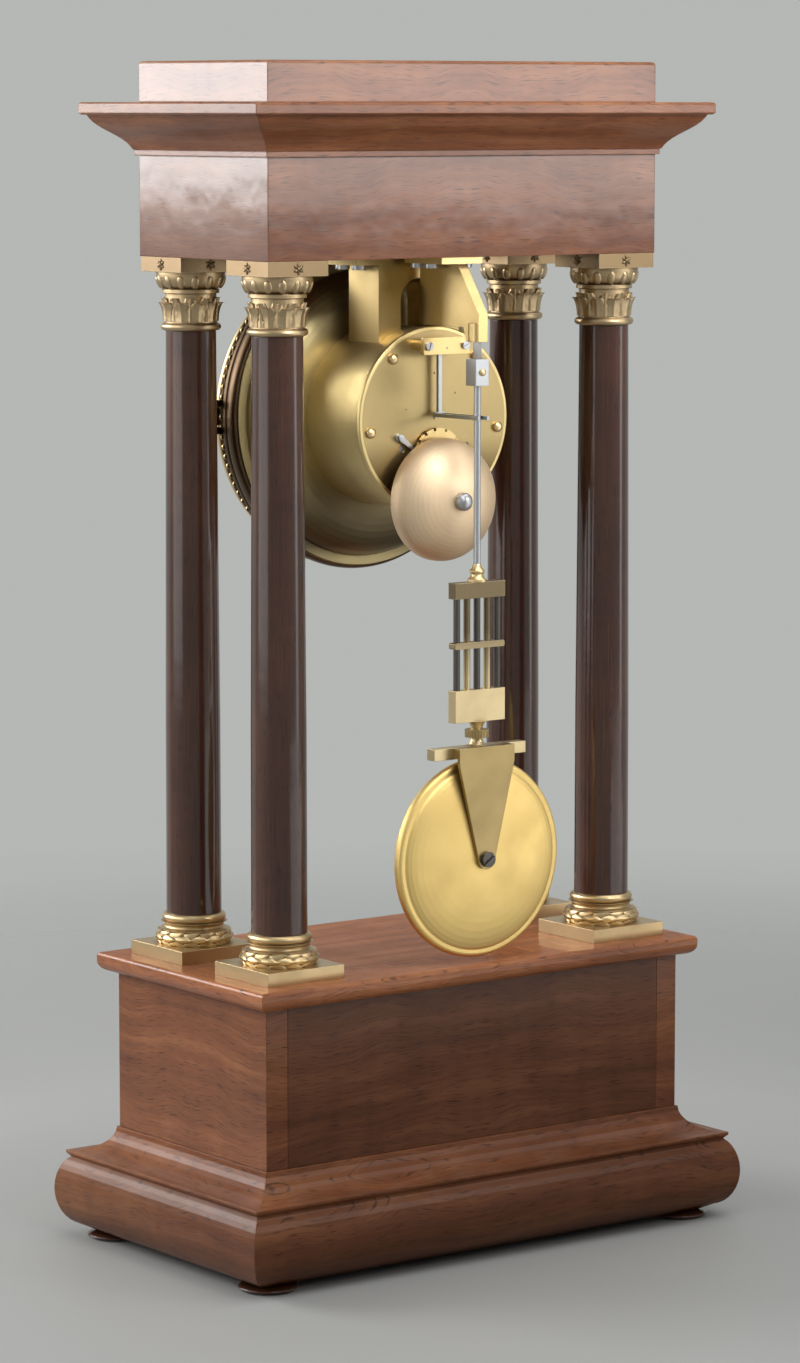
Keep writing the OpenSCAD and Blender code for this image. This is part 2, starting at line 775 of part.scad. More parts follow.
// A closed spring barrel with its great wheel, free on the winding arbor
module barrel(p, driven) {
    body_y = barrel_y + barrel_tooth_t;
    wall = 1.2;
    difference() {
        union() {
            translate([0, 0, dial_z]) between(barrel_y, body_y) translate(p)
                teeth(barrel_n, barrel_m, bearing(p, driven) + 180 / barrel_n);
            bar(p, barrel_body_r, body_y - eps, body_y + barrel_body_t);
        }
        bar(p, barrel_body_r - wall, body_y, body_y + barrel_body_t - wall);
        bar(p, 2.5 + fit, barrel_y - 1, body_y + 1);
        bar(p, 1.5 + fit, body_y, body_y + barrel_body_t + 1);
    }
}

// Winding arbor: the square for the key, the spring hook's core and the back pivot
module winding_arbor(p) {
    body_y = barrel_y + barrel_tooth_t;
    square_side = 3.4;
    core_end = body_y + barrel_body_t - 2;
    bar(p, 2.5, plate_front_y - 3, core_end);
    bar(p, 1.5, core_end - eps, plate_back_y - 0.5);
    translate([0, 0, dial_z]) between(dial_y - 0.6, plate_front_y - 3 + eps) translate(p)
        square(square_side, center = true);
}

module going_barrel() {
    color(BRASS) barrel(going_p, inter_p);
}

module going_winding_arbor() {
    color(STEEL) winding_arbor(going_p);
}

module intermediate_wheel() {
    color(BRASS) {
        arbor(inter_p, 0.8);
        pinion(inter_p, going_p, inter_pinion_n, barrel_m, barrel_y - 0.5, 3);
        wheel(inter_p, centre_p, inter_n, inter_m, inter_y, wheel_t, 5, 2.4);
    }
}

// Centre wheel on the arbor that carries the hands
module centre_wheel() {
    color(BRASS) {
        bar(centre_p, 1.2, minute_hand_y - 1.6, plate_in1 - 0.3);
        bar(centre_p, pivot_r, plate_in1 - 0.5, plate_back_y - 0.5);
        pinion(centre_p, inter_p, centre_pinion_n, inter_m, inter_y - 0.5, 2.2);
        translate([0, 0, dial_z]) between(centre_y, centre_y + 1.6)
            teeth(centre_n, centre_m, bearing(centre_p, third_p) + 180 / centre_n);
    }
}

module third_wheel() {
    color(BRASS) {
        arbor(third_p, 0.75);
        pinion(third_p, centre_p, third_pinion_n, centre_m, centre_y - 0.4, 2.4);
        wheel(third_p, escape_p, third_n, third_m, third_y, 0.8, 4, 2);
    }
}

// Escape wheel: thirty fine teeth that lean forward
module escape_wheel() {
    root_r = escape_r - 1.4;
    step = 360 / escape_n;
    tooth = [[root_r, 0], [escape_r, 2.4], [escape_r, 3.2], [root_r, step * 0.62]];
    points = [for (i = [0:escape_n - 1]) for (f = tooth) let (a = i * step + f[1]) f[0] * [cos(a), sin(a)]];
    color(BRASS) {
        arbor(escape_p, 0.45);
        pinion(escape_p, third_p, escape_pinion_n, third_m, third_y - 0.5, 1.8);
        translate([0, 0, dial_z]) between(escape_y, escape_y + 0.6) translate(escape_p) {
            difference() {
                polygon(points);
                circle(r = root_r - 0.9);
            }
            circle(r = 1.5);
            for (i = [0:3]) rotate(90 * i) translate([0, -0.5]) square([root_r - 0.7, 1]);
        }
    }
}

// Anchor over the escape wheel, on its arbor
module anchor() {
    reach = escape_r + 1;
    spread = acos(escape_r / (anchor_p[1] - escape_p[1]));
    color(STEEL) {
        bar(anchor_p, 0.8, plate_in0 + 0.3, 31.7);
        bar(anchor_p, pivot_r, plate_front_y + 0.5, 34);
        translate([0, 0, dial_z]) between(escape_y - 0.3, escape_y + 0.9) difference() {
            translate(anchor_p) circle(r = 2);
            translate(anchor_p) circle(r = 0.4);
        }
        for (s = [-1, 1]) translate([0, 0, dial_z]) between(escape_y - 0.3, escape_y + 0.9) {
            near = escape_p + reach * [s * sin(spread), cos(spread)];
            far = escape_p + (reach + 1.6) * [s * sin(spread), cos(spread)];
            along = 0.8 * [s * cos(spread), -sin(spread)];
            polygon([near - along, near + along, far + along,
                anchor_p + [s * 0.6, 1.6], anchor_p + [s * -0.4, -1.2]]);
        }
    }
}

// Crutch: a strip from the anchor's arbor, and a fork that reaches back to the rod
module crutch() {
    y0 = 28;
    fork_z = 2;
    prong_x = swing_rod_r + 0.35;
    color(STEEL) {
        difference() {
            translate([0, 0, dial_z]) between(y0, y0 + 1.5) {
                translate(anchor_p) circle(r = 2.2);
                translate([-1, fork_z]) square([2, anchor_p[1] - fork_z]);
                translate([-prong_x - 1.2, fork_z - 1.2]) square([2 * prong_x + 2.4, 2.4]);
            }
            bar(anchor_p, 0.8, y0 - 1, y0 + 3);
        }
        for (s = [-1, 1]) translate([0, y0 + 1.5 - eps, dial_z + fork_z - 0.8])
            translate([s > 0 ? prong_x : -prong_x - 1.2, 0, 0]) cube([1.2, pendulum_y + 3 - y0, 1.6]);
    }
}

// Strike train

module strike_barrel() {
    color(BRASS) barrel(strike_p, second_p);
}

module strike_winding_arbor() {
    color(STEEL) winding_arbor(strike_p);
}

// Second wheel, whose arbor carries the count wheel behind the back plate
module strike_second_wheel() {
    color(BRASS) {
        arbor(second_p, 0.8);
        bar(second_p, 1, plate_in1 - 0.5, plate_back_y + 2.6);
        pinion(second_p, strike_p, inter_pinion_n, barrel_m, barrel_y - 0.5, 3);
        wheel(second_p, pin_p, second_n, second_m, second_y, wheel_t, 4, 2.2);
    }
}

// Count wheel: a disc with a notch for each hour, spaced wider as the count grows
module count_wheel() {
    r = 13;
    notch = 1.2;
    blows = 90;
    function upto(h) = h * (h + 1) / 2 + h;
    color(BRASS) difference() {
        translate([0, 0, dial_z]) between(plate_back_y + 1, plate_back_y + 2.2)
            translate(second_p) difference() {
                circle(r = r);
                for (h = [0:11]) rotate(upto(h) / blows * 360) translate([r - notch, -0.6]) square([2, 1.2]);
                for (i = [0:3]) rotate(45 + 90 * i) translate([6.5, 0]) circle(r = 2.9);
            }
        bar(second_p, 1, plate_back_y, plate_back_y + 4);
    }
}

// Pin wheel with ten lifting pins
module pin_wheel() {
    color(BRASS) {
        arbor(pin_p, 0.7);
        pinion(pin_p, second_p, pin_pinion_n, second_m, second_y - 0.4, 2);
        wheel(pin_p, fly_p, pin_n, pin_m, pin_y, 1, 3, 2);
        for (i = [0:9]) bar(pin_p + pin_circle_r * [cos(36 * i), sin(36 * i)], 0.4, pin_y + 0.5, pin_y + 3);
    }
}

// Fly: two thin vanes that steady the strike
module fly() {
    vane = 3.8;
    color(BRASS) {
        arbor(fly_p, 0.36);
        pinion(fly_p, pin_p, fly_pinion_n, pin_m, pin_y - 0.5, 2);
        translate([0, 0, dial_z]) between(9.8, 14.6) translate(fly_p) {
            square([2 * vane, 0.3], center = true);
            circle(r = 0.8);
        }
    }
}

// Hammer: arbor, tail towards the pins and a head inside the bell
module hammer() {
    tail_l = norm(pin_p - hammer_p) - pin_circle_r - 1;
    head_p = [-13.7, -51.5];
    stem = head_p - hammer_p;
    head_y = 30.8;
    color(STEEL) {
        arbor(hammer_p, 0.9);
        bar(hammer_p, 1, plate_in1 - 0.5, head_y + 1.2);
        translate([0, 0, dial_z]) between(17.8, 19.4) translate(hammer_p) rotate(bearing(hammer_p, pin_p))
            translate([0, -0.7]) square([tail_l, 1.4]);
        translate([0, 0, dial_z]) between(head_y - 1, head_y + 1) translate(hammer_p) {
            circle(r = 2.2);
            rotate(atan2(stem[1], stem[0])) translate([0, -0.8]) square([norm(stem), 1.6]);
        }
        bar(head_p, 2.8, head_y - 1, head_y + 2.6);
    }
}

// Bell: a domed dish on a short straight lip, its mouth to the back plate
module bell() {
    wall = 1.4;
    crown_y = bell_mouth_y + bell_depth;
    spring = [0, bell_mouth_y + 2];
    rise = bell_depth - 2;
    outer = concat([[bell_r, bell_mouth_y]], oval(spring, bell_r, rise, 0, 84, 14), [[2, crown_y]]);
    inner = concat([[2, crown_y - wall]], oval(spring, bell_r - wall, rise - wall, 84, 0, 14),
        [[bell_r - wall, bell_mouth_y]]);
    color(BRASS) turned(bell_p, concat(outer, inner));
}

// Post through the crown of the bell, with a shoulder below and a domed nut above
module bell_stand() {
    crown_y = bell_mouth_y + bell_depth;
    seat_y = crown_y - 1.4;
    color(STEEL) turned(bell_p, concat(
        [[0, plate_in1], [1.5, plate_in1], [1.5, plate_back_y], [3, plate_back_y],
        [3, plate_back_y + 2], [2.6, plate_back_y + 2.4],
        [2.6, seat_y], [2, seat_y], [2, crown_y], [4, crown_y]],
        oval([0, crown_y + 1.6], 4, 2.4, 0, 90, 6)));
}

// Pendulum

// Chops, hook and the upper rod down to the gridiron
module pendulum_rod() {
    color(STEEL) {
        span([-3.5, pendulum_y - 3.5, chop_z0], [3.5, pendulum_y + 3.5, chop_z1]);
        post([0, pendulum_y], swing_rod_r, grid_top_z - eps, chop_z0 + eps);
    }
}

function grid_x(i) = (i - (gridiron_n - 1) / 2) * (gridiron_w - 5) / (gridiron_n - 1);

// Rods of the gridiron, steel on the even places and brass on the odd ones
module gridiron_rods(first) {
    for (i = [first:2:gridiron_n - 1])
        post([grid_x(i), pendulum_y], 1.5, grid_low_z + grid_low_h, grid_top_z - grid_bar_h);
}

module gridiron_steel_rods() {
    color(STEEL) gridiron_rods(0);
}

module gridiron_brass_rods() {
    color(BRASS) gridiron_rods(1);
}

// Upper bar, lower bar with its baluster stem, and the yoke above the bob
module gridiron_bars() {
    half = 2.6;
    low_top = grid_low_z + grid_low_h;
    stem = concat([[0, yoke_z + yoke_h - eps], [4.5, yoke_z + yoke_h - eps]],
        oval([4.5, (yoke_z + yoke_h + grid_low_z) / 2], -2.2, (grid_low_z - yoke_z - yoke_h) / 2, -90, 90, 8),
        [[4.5, grid_low_z + eps], [0, grid_low_z + eps]]);
    color(GILT) {
        for (b = [[gridiron_w, grid_top_z - grid_bar_h, grid_top_z], [gridiron_w, grid_low_z, low_top],
            [yoke_w, yoke_z, yoke_z + yoke_h]])
            translate([0, pendulum_y, 0]) box(b[0], 2 * half, b[1], b[2]);
        translate([0, pendulum_y, 0]) rotate_extrude() polygon(stem);
    }
}

// Lens-shaped bob with a turned rim
module bob() {
    half = bob_t / 2;
    rim = 1.8;
    lens = bob_r - 3;
    profile = concat([[0, -half]], oval([0, -rim], lens, half - rim, -84, -8, 10),
        oval([bob_r - rim, 0], rim, rim + 0.6, -90, 90, 8),
        oval([0, rim], lens, half - rim, 8, 84, 10), [[0, half]]);
    color(GILT) translate([0, pendulum_y, bob_z]) rotate([-90, 0, 0]) rotate_extrude() polygon(profile);
}

// Pointed bracket behind the bob, from the yoke to the bob's centre
module bob_bracket() {
    top_w = 30;
    tip_r = 4.5;
    color(BRASS) difference() {
        union() {
            between(bracket_y0, bracket_y0 + bracket_t) {
                polygon([[-top_w / 2, yoke_z + yoke_h], [top_w / 2, yoke_z + yoke_h], [top_w / 2, yoke_z - 2],
                    [tip_r, bob_z], [-tip_r, bob_z], [-top_w / 2, yoke_z - 2]]);
                translate([0, bob_z]) circle(r = tip_r);
            }
            span([-top_w / 2, pendulum_y + 2.6, yoke_z + 0.5],
                [top_w / 2, bracket_y0 + eps, yoke_z + yoke_h]);
        }
        translate([0, bracket_y0 - 1, bob_z]) rotate([-90, 0, 0]) cylinder(r = 1.6, h = bracket_t + 2);
    }
}

// Knurled nut on the stem, which raises and lowers the bob
module rating_nut() {
    h = 3.4;
    mid = (yoke_z + yoke_h + grid_low_z) / 2;
    color(BRASS) translate([0, pendulum_y, mid - h / 2]) linear_extrude(h) difference() {
        circle(r = 5.2);
        circle(r = 2.5);
        for (i = [0:23]) rotate(15 * i) translate([5.3, 0]) circle(r = 0.35);
    }
}

for (c = CORNERS) column(c);
feet();
plinth_moulding();
base_floor();
base_carcass();
base_back_board();
base_top();
column_bases();
capitals();
soffit_board();
frieze_box();
cornice();
attic();
hanger();
soffit_screws();
suspension_cock();
suspension_spring();
drum_case();
front_plate();
back_plate();
plate_pillars();
pallet_cock();
dial_cup();
bezel_ring();
bezel_door();
bezel_glass();
bezel_hinge_pin();
dial();
minute_hand();
hour_hand();
cannon_pinion();
minute_wheel();
hour_wheel();
going_barrel();
going_winding_arbor();
intermediate_wheel();
centre_wheel();
third_wheel();
escape_wheel();
anchor();
crutch();
strike_barrel();
strike_winding_arbor();
strike_second_wheel();
count_wheel();
pin_wheel();
fly();
hammer();
bell();
bell_stand();
pendulum_rod();
gridiron_steel_rods();
gridiron_brass_rods();
gridiron_bars();
bob();
bob_bracket();
rating_nut();
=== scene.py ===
"""Looks of the portico clock: polished mahogany, gilt mounts, a brass movement and its pendulum.

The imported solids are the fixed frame. The classes below dress them with finishes and add the small
work that the solids leave out: cast leaves, dial printing, beads, nuts and screws. Metres throughout,
with +Z up and the dial towards -Y.
"""

import logging
import math
from dataclasses import dataclass
from enum import Enum
from functools import partial
from typing import Callable, ClassVar, Optional, Sequence, Union

import bmesh
import bpy
from mathutils import Matrix, Vector


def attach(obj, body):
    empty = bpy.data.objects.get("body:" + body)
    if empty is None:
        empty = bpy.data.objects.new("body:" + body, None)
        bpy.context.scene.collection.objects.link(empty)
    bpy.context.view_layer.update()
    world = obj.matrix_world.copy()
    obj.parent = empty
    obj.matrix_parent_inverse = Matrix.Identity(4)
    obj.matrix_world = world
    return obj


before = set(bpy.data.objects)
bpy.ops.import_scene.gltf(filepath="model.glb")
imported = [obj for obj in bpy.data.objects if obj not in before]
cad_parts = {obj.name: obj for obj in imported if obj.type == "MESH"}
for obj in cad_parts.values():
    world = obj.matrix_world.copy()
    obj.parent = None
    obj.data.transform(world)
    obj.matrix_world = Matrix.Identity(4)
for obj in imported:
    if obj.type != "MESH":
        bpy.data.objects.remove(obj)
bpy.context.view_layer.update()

LOG = logging.getLogger("portico_clock")
FULL_TURN = 2 * math.pi
UPRIGHT = Matrix.Identity(4)

Socket = bpy.types.NodeSocket
Sockets = dict[str, Socket]
Value = Union[Socket, float, Sequence[float]]
Values = dict[Union[int, str], Value]
Point = Sequence[float]
Spot = tuple[float, float]
Colour = tuple[float, float, float]
Tones = dict[str, Colour]
Stops = tuple[Spot, ...]
Dressing = dict[str, tuple[str, ...]]
LeafPoint = Callable[[float, float, bool], Vector]

# Places that several sub-assemblies share
DIAL_Z = 0.365
BOB_Z = 0.175
BELL_Z = 0.330
COLUMN_PLACES = {f"{row}_{side}": (x, y) for row, y in (("front", -0.0327), ("back", 0.0327))
                 for side, x in (("left", -0.089), ("right", 0.089))}

# Colours that several finishes share
GOLD: Colour = (0.86, 0.62, 0.235)
PALE_GOLD: Colour = (0.80, 0.60, 0.315)
# Painted shade: the near black painted on the back of the gilt bezel parts
PAINTED_SHADE_BACK: Colour = (0.055, 0.028, 0.014)
DUST_ON_WOOD: Colour = (0.42, 0.38, 0.34)
DUST_ON_METAL: Colour = (0.40, 0.37, 0.32)
# Painted shade: the dark brown that the lower part of a wooden piece darkens to
PAINTED_SHADE_BROWN: Colour = (0.030, 0.016, 0.010)
PANEL_TONES: Tones = {"dark": (0.075, 0.019, 0.0065), "middle": (0.195, 0.064, 0.023),
                      "light": (0.37, 0.148, 0.058)}
COLUMN_TONES: Tones = {"dark": (0.020, 0.007, 0.0045), "middle": (0.060, 0.021, 0.012),
                       "light": (0.125, 0.048, 0.026)}


class Grain(Enum):
    """How the figure of the wood lies on a piece."""

    ALONG = "along"
    TURNED = "turned"


class Marks(Enum):
    """The tool marks that a metal shows."""

    TURNED = "turned"
    BRUSHED = "brushed"
    CAST = "cast"


def toned(colour: Colour, share: float, lift: float = 0.0) -> Colour:
    """Makes a colour darker or lighter by a share and a lift."""
    return tuple(min(1.0, share * part + lift) for part in colour)


def painted_light_tones(tones: Tones, share: float) -> Tones:
    """Makes a lighter or darker copy of a wood's tones by a share, as painted light or painted shade."""
    return {key: toned(colour, share) for key, colour in tones.items()}


class Graph:
    """Adds and links the nodes of one shader tree."""

    def __init__(self, tree: bpy.types.NodeTree) -> None:
        """Keeps the tree that nodes are added to."""
        self.tree = tree

    def node(self, kind: str, **settings: object) -> bpy.types.Node:
        """Adds a node.

        Args:
            kind: the shader node's type, without its prefix.
            settings: properties set on the node.

        Returns:
            The new node.
        """
        made = self.tree.nodes.new(f"ShaderNode{kind}")
        for name, value in settings.items():
            setattr(made, name, value)
        return made

    def feed(self, target: Socket, value: Value) -> None:
        """Links a socket to an input, or sets a plain value on it.

        Args:
            target: the input.
            value: the socket or the value.
        """
        if isinstance(value, Socket):
            self.tree.links.new(value, target)
        else:
            target.default_value = value

    def fill(self, node: bpy.types.Node, values: Values) -> None:
        """Feeds inputs of a node by their index or name."""
        for key, value in values.items():
            self.feed(node.inputs[key], value)

    def make(self, kind: str, values: Values, out: Union[int, str] = 0, **settings: object) -> Socket:
        """Adds a node and feeds its inputs.

        Args:
            kind: the shader node's type, without its prefix.
            values: what goes to each input, by its index or name.
            out: index or name of the output that is wanted.
            settings: properties set on the node.

        Returns:
            The output.
        """
        made = self.node(kind, **settings)
        self.fill(made, values)
        return made.outputs[out]

    def where(self) -> Socket:
        """Gives the place on the object, in metres."""
        return self.node("TexCoord").outputs["Object"]

    def facing(self) -> Socket:
        """Gives the true normal."""
        return self.node("NewGeometry").outputs["Normal"]

    def rounded(self, radius: Value) -> Socket:
        """Gives the normal as if every edge had a radius."""
        return self.make("Bevel", {"Radius": radius}, samples=4)

    def split(self, vector: Socket) -> Sequence[Socket]:
        """Gives the three numbers of a vector."""
        return self.make("SeparateXYZ", {0: vector}).node.outputs

    def combine(self, x: Value, y: Value, z: Value) -> Socket:
        """Joins three numbers into a vector."""
        return self.make("CombineXYZ", {0: x, 1: y, 2: z})

    def math(self, operation: str, a: Value, b: Value = 0.0, clamp: bool = False) -> Socket:
        """Works out an operation on two numbers, held from 0 to 1 if clamped."""
        return self.make("Math", {0: a, 1: b}, operation=operation, use_clamp=clamp)

    def plus(self, a: Value, b: Value) -> Socket:
        """Adds two numbers."""
        return self.math("ADD", a, b)

    def minus(self, a: Value, b: Value, clamp: bool = False) -> Socket:
        """Takes the second number from the first."""
        return self.math("SUBTRACT", a, b, clamp)

    def times(self, a: Value, b: Value, clamp: bool = False) -> Socket:
        """Multiplies two numbers."""
        return self.math("MULTIPLY", a, b, clamp)

    def size(self, value: Value) -> Socket:
        """Gives a number without its sign."""
        return self.math("ABSOLUTE", value)

    def length(self, a: Value, b: Value) -> Socket:
        """Gives the length of a flat vector."""
        return self.math("SQRT", self.plus(self.times(a, a), self.times(b, b)))

    def blend(self, factor: Value, a: Value, b: Value) -> Socket:
        """Mixes two numbers by the share of the second."""
        return self.make("Mix", {0: factor, 2: a, 3: b}, data_type="FLOAT")

    def mix(self, factor: Value, a: Value, b: Value) -> Socket:
        """Mixes two colours by the share of the second."""
        first, second = (c if isinstance(c, Socket) else (*c, 1.0) for c in (a, b))
        return self.make("Mix", {0: factor, 6: first, 7: second}, 2, data_type="RGBA")

    def stretch(self, vector: Socket, scale: Point) -> Socket:
        """Multiplies a vector by three factors."""
        return self.make("VectorMath", {0: vector, 1: scale}, operation="MULTIPLY")

    def noise(self, vector: Socket, scale: Value, detail: float = 3.0, rough: float = 0.5) -> Socket:
        """Reads a noise of about 0.5, with so many repeats for each metre."""
        return self.make("TexNoise", {"Vector": vector, "Scale": scale, "Detail": detail, "Roughness": rough})

    def streaks(self, vector: Socket, scale: Point, detail: float, rough: float = 0.5) -> Socket:
        """Reads a noise with its own number of repeats along each axis."""
        return self.noise(self.stretch(vector, scale), 1.0, detail, rough)

    def span(self, value: Value, low: float, high: float, to: Spot = (0.0, 1.0)) -> Socket:
        """Maps the range from low to high to another one, held at its ends."""
        return self.make("MapRange", {0: value, 1: low, 2: high, 3: to[0], 4: to[1]}, clamp=True)

    def ramp(self, value: Socket, stops: Sequence[tuple[float, Colour]]) -> Socket:
        """Colours a value by a ramp.

        Args:
            value: the value that is read.
            stops: places from 0 to 1 with their colours.

        Returns:
            The colour socket.
        """
        made = self.node("ValToRGB")
        line = made.color_ramp.elements
        while len(line) < len(stops):
            line.new(0.5)
        for element, (place, colour) in zip(line, stops):
            element.position = place
            element.color = (*colour, 1.0)
        self.feed(made.inputs[0], value)
        return made.outputs[0]

    def stops(self, axis: int, stops: Stops) -> Socket:
        """Draws a mask that changes along one axis of the object.

        Args:
            axis: 0, 1 or 2 for X, Y or Z.
            stops: places in metres with the mask there.

        Returns:
            The mask socket.
        """
        low, high = stops[0][0], stops[-1][0]
        along = self.span(self.split(self.where())[axis], low, high)
        return self.ramp(along, [((at - low) / (high - low), (share,) * 3) for at, share in stops])

    def bump(self, height: Socket, depth: float, strength: float, normal: Optional[Socket] = None) -> Socket:
        """Turns a height into a normal.

        Args:
            height: the height, from 0 to 1.
            depth: the real depth that 1 stands for.
            strength: share of the effect.
            normal: the normal that the bump starts from.

        Returns:
            The normal socket.
        """
        values: Values = {"Height": height, "Distance": depth, "Strength": strength}
        if normal is not None:
            values["Normal"] = normal
        return self.make("Bump", values)


@dataclass(frozen=True)
class Effect:
    """A shader group that several finishes share, built once. An input without a default is a vector."""

    made: ClassVar[dict[str, bpy.types.NodeTree]] = {}
    kinds: ClassVar[dict[bool, str]] = {False: "NodeSocketFloat", True: "NodeSocketVector"}

    name: str
    inputs: dict[str, Optional[float]]
    outputs: tuple[str, ...]
    draw: Callable[[Graph, Sockets], Sockets]
    gives_vector: bool = False

    def tree(self) -> bpy.types.NodeTree:
        """Builds the group at the first call.

        Returns:
            The group's tree.
        """
        if self.name in Effect.made:
            return Effect.made[self.name]
        tree = bpy.data.node_groups.new(self.name, "ShaderNodeTree")
        for name, default in self.inputs.items():
            kind = self.kinds[default is None]
            socket = tree.interface.new_socket(name=name, in_out="INPUT", socket_type=kind)
            if default is not None:
                socket.default_value = default
        for name in self.outputs:
            tree.interface.new_socket(name=name, in_out="OUTPUT", socket_type=self.kinds[self.gives_vector])
        graph = Graph(tree)
        entry, leave = tree.nodes.new("NodeGroupInput"), tree.nodes.new("NodeGroupOutput")
        graph.fill(leave, self.draw(graph, {socket.name: socket for socket in entry.outputs if socket.name}))
        Effect.made[self.name] = tree
        return tree

    def place(self, graph: Graph, **values: Value) -> Sockets:
        """Places the group in a material.

        Args:
            graph: the material's tree.
            values: inputs by name.

        Returns:
            The group's outputs by name.
        """
        node = graph.node("Group", node_tree=self.tree())
        graph.fill(node, values)
        return {socket.name: socket for socket in node.outputs}


def draw_veneer_space(graph: Graph, given: Sockets) -> Sockets:
    """Lays veneer on a case: along each face, mitred at the corners and matched at the middle.

    Args:
        graph: the group's tree.
        given: the group's inputs.

    Returns:
        The vector of along, across and sheet.
    """
    where = graph.node("TexCoord").outputs
    x, y, z = graph.split(where["Object"])
    facing = graph.split(where["Normal"])
    to_side = graph.math("GREATER_THAN", graph.size(facing[0]), graph.size(facing[1]))
    along = graph.blend(to_side, x, y)
    depth = graph.size(graph.blend(to_side, y, x))
    matched = graph.blend(given["Match"], along, graph.size(along))
    return {"Space": graph.combine(matched, graph.plus(z, depth), graph.plus(to_side, given["Sheet"]))}


def draw_figure(graph: Graph, given: Sockets) -> Sockets:
    """Draws mahogany: drifting bands, a flame, a soft mottle and fine dark pores.

    Args:
        graph: the group's tree.
        given: the group's inputs.

    Returns:
        Tone from dark to light, the pores and the height of the grain.
    """
    space, flame = given["Space"], given["Flame"]
    along, across, sheet = graph.split(space)
    swing = graph.times(graph.minus(graph.noise(space, 16.0, 2.0), 0.5), flame)
    arc = graph.times(graph.math("POWER", graph.size(along), 1.6), graph.times(flame, 5.0))
    grain = graph.combine(along, graph.plus(graph.plus(across, swing), arc), sheet)
    bands = graph.streaks(grain, (7.0, 95.0, 1.0), 5.0, 0.62)
    lines = graph.streaks(grain, (20.0, 620.0, 1.0), 3.0, 0.6)
    mottle = graph.streaks(grain, (70.0, 24.0, 1.0), 2.0)
    broad = graph.streaks(space, (9.0, 14.0, 1.0), 1.0)
    fleck = graph.streaks(grain, (110.0, 2100.0, 1.0), 1.0, 0.4)
    tone = graph.times(bands, 0.62)
    for source, share in ((lines, 0.16), (mottle, 0.16), (broad, 0.30)):
        tone = graph.plus(tone, graph.times(source, share))
    pores = graph.span(fleck, 0.60, 0.70)
    height = graph.minus(graph.times(lines, 0.35), graph.times(pores, 0.6))
    return {"Tone": graph.span(tone, 0.36, 0.88), "Pores": pores, "Height": height}


def draw_wear(graph: Graph, given: Sockets) -> Sockets:
    """Finds rubbed edges by comparing a rounded normal with the true one, broken up by noise.

    Args:
        graph: the group's tree.
        given: the group's inputs.

    Returns:
        The mask of the rubbed edges.
    """
    normals = {0: graph.rounded(given["Radius"]), 1: graph.facing()}
    edge = graph.span(graph.make("VectorMath", normals, "Value", operation="DOT_PRODUCT"), 0.99, 0.84)
    patch = graph.span(graph.noise(graph.where(), 90.0, 4.0, 0.6), 0.42, 0.66)
    return {"Mask": graph.times(graph.times(edge, patch), given["Amount"], clamp=True)}


def draw_tarnish(graph: Graph, given: Sockets) -> Sockets:
    """Gathers tarnish in hollows and in slow drifting patches.

    Args:
        graph: the group's tree.
        given: the group's inputs.

    Returns:
        The mask of the tarnish and a slow variation.
    """
    hollow = graph.make("AmbientOcclusion", {"Distance": given["Reach"]}, "AO", samples=4, only_local=True)
    deep = graph.span(hollow, 0.92, 0.35)
    drift = graph.noise(graph.where(), given["Scale"])
    patch = graph.span(drift, 0.40, 0.85)
    mask = graph.plus(graph.times(deep, 0.85), graph.times(patch, 0.35))
    return {"Mask": graph.times(mask, given["Amount"], clamp=True), "Drift": drift}


def draw_dust(graph: Graph, given: Sockets) -> Sockets:
    """Lets a little dust lie on what faces up.

    Args:
        graph: the group's tree.
        given: the group's inputs.

    Returns:
        The mask of the dust and of what faces up.
    """
    level = graph.span(graph.split(graph.facing())[2], 0.55, 0.98)
    patch = graph.span(graph.noise(graph.where(), 60.0, 5.0, 0.65), 0.35, 0.75)
    return {"Mask": graph.times(graph.times(level, patch), given["Amount"], clamp=True), "Level": level}


def draw_turning(graph: Graph, given: Sockets) -> Sockets:
    """Draws the fine rings that a lathe leaves round an axis along Y.

    Args:
        graph: the group's tree.
        given: the group's inputs.

    Returns:
        The height of the rings.
    """
    x, y, z = graph.split(graph.where())
    radius = graph.length(graph.minus(x, given["X"]), graph.minus(z, given["Z"]))
    rings = graph.noise(graph.combine(radius, graph.times(y, 0.6), 0.0), 2600.0, 2.0, 0.7)
    slow = graph.noise(graph.combine(radius, 0.0, 0.0), 420.0, 1.0)
    return {"Height": graph.plus(graph.times(rings, 0.6), graph.times(slow, 0.4))}


VENEER_SPACE = Effect("veneer_space", {"Match": 1.0, "Sheet": 0.0}, ("Space",), draw_veneer_space,
                      gives_vector=True)
FIGURE = Effect("mahogany_figure", {"Space": None, "Flame": 0.05}, ("Tone", "Pores", "Height"), draw_figure)
WEAR = Effect("rubbed_edges", {"Radius": 0.001, "Amount": 0.5}, ("Mask",), draw_wear)
TARNISH = Effect("tarnish", {"Reach": 0.003, "Scale": 70.0, "Amount": 0.6}, ("Mask", "Drift"), draw_tarnish)
DUST = Effect("dust", {"Amount": 0.1}, ("Mask", "Level"), draw_dust)
TURNING = Effect("turning_rings", {"X": 0.0, "Z": 0.0}, ("Height",), draw_turning)




def new_material(name: str) -> tuple[bpy.types.Material, Graph, bpy.types.Node]:
    """Starts a material.

    Args:
        name: the material's name.

    Returns:
        The material, its graph and its principled shader.
    """
    material = bpy.data.materials.new(name)
    material.use_nodes = True
    return material, Graph(material.node_tree), material.node_tree.nodes["Principled BSDF"]


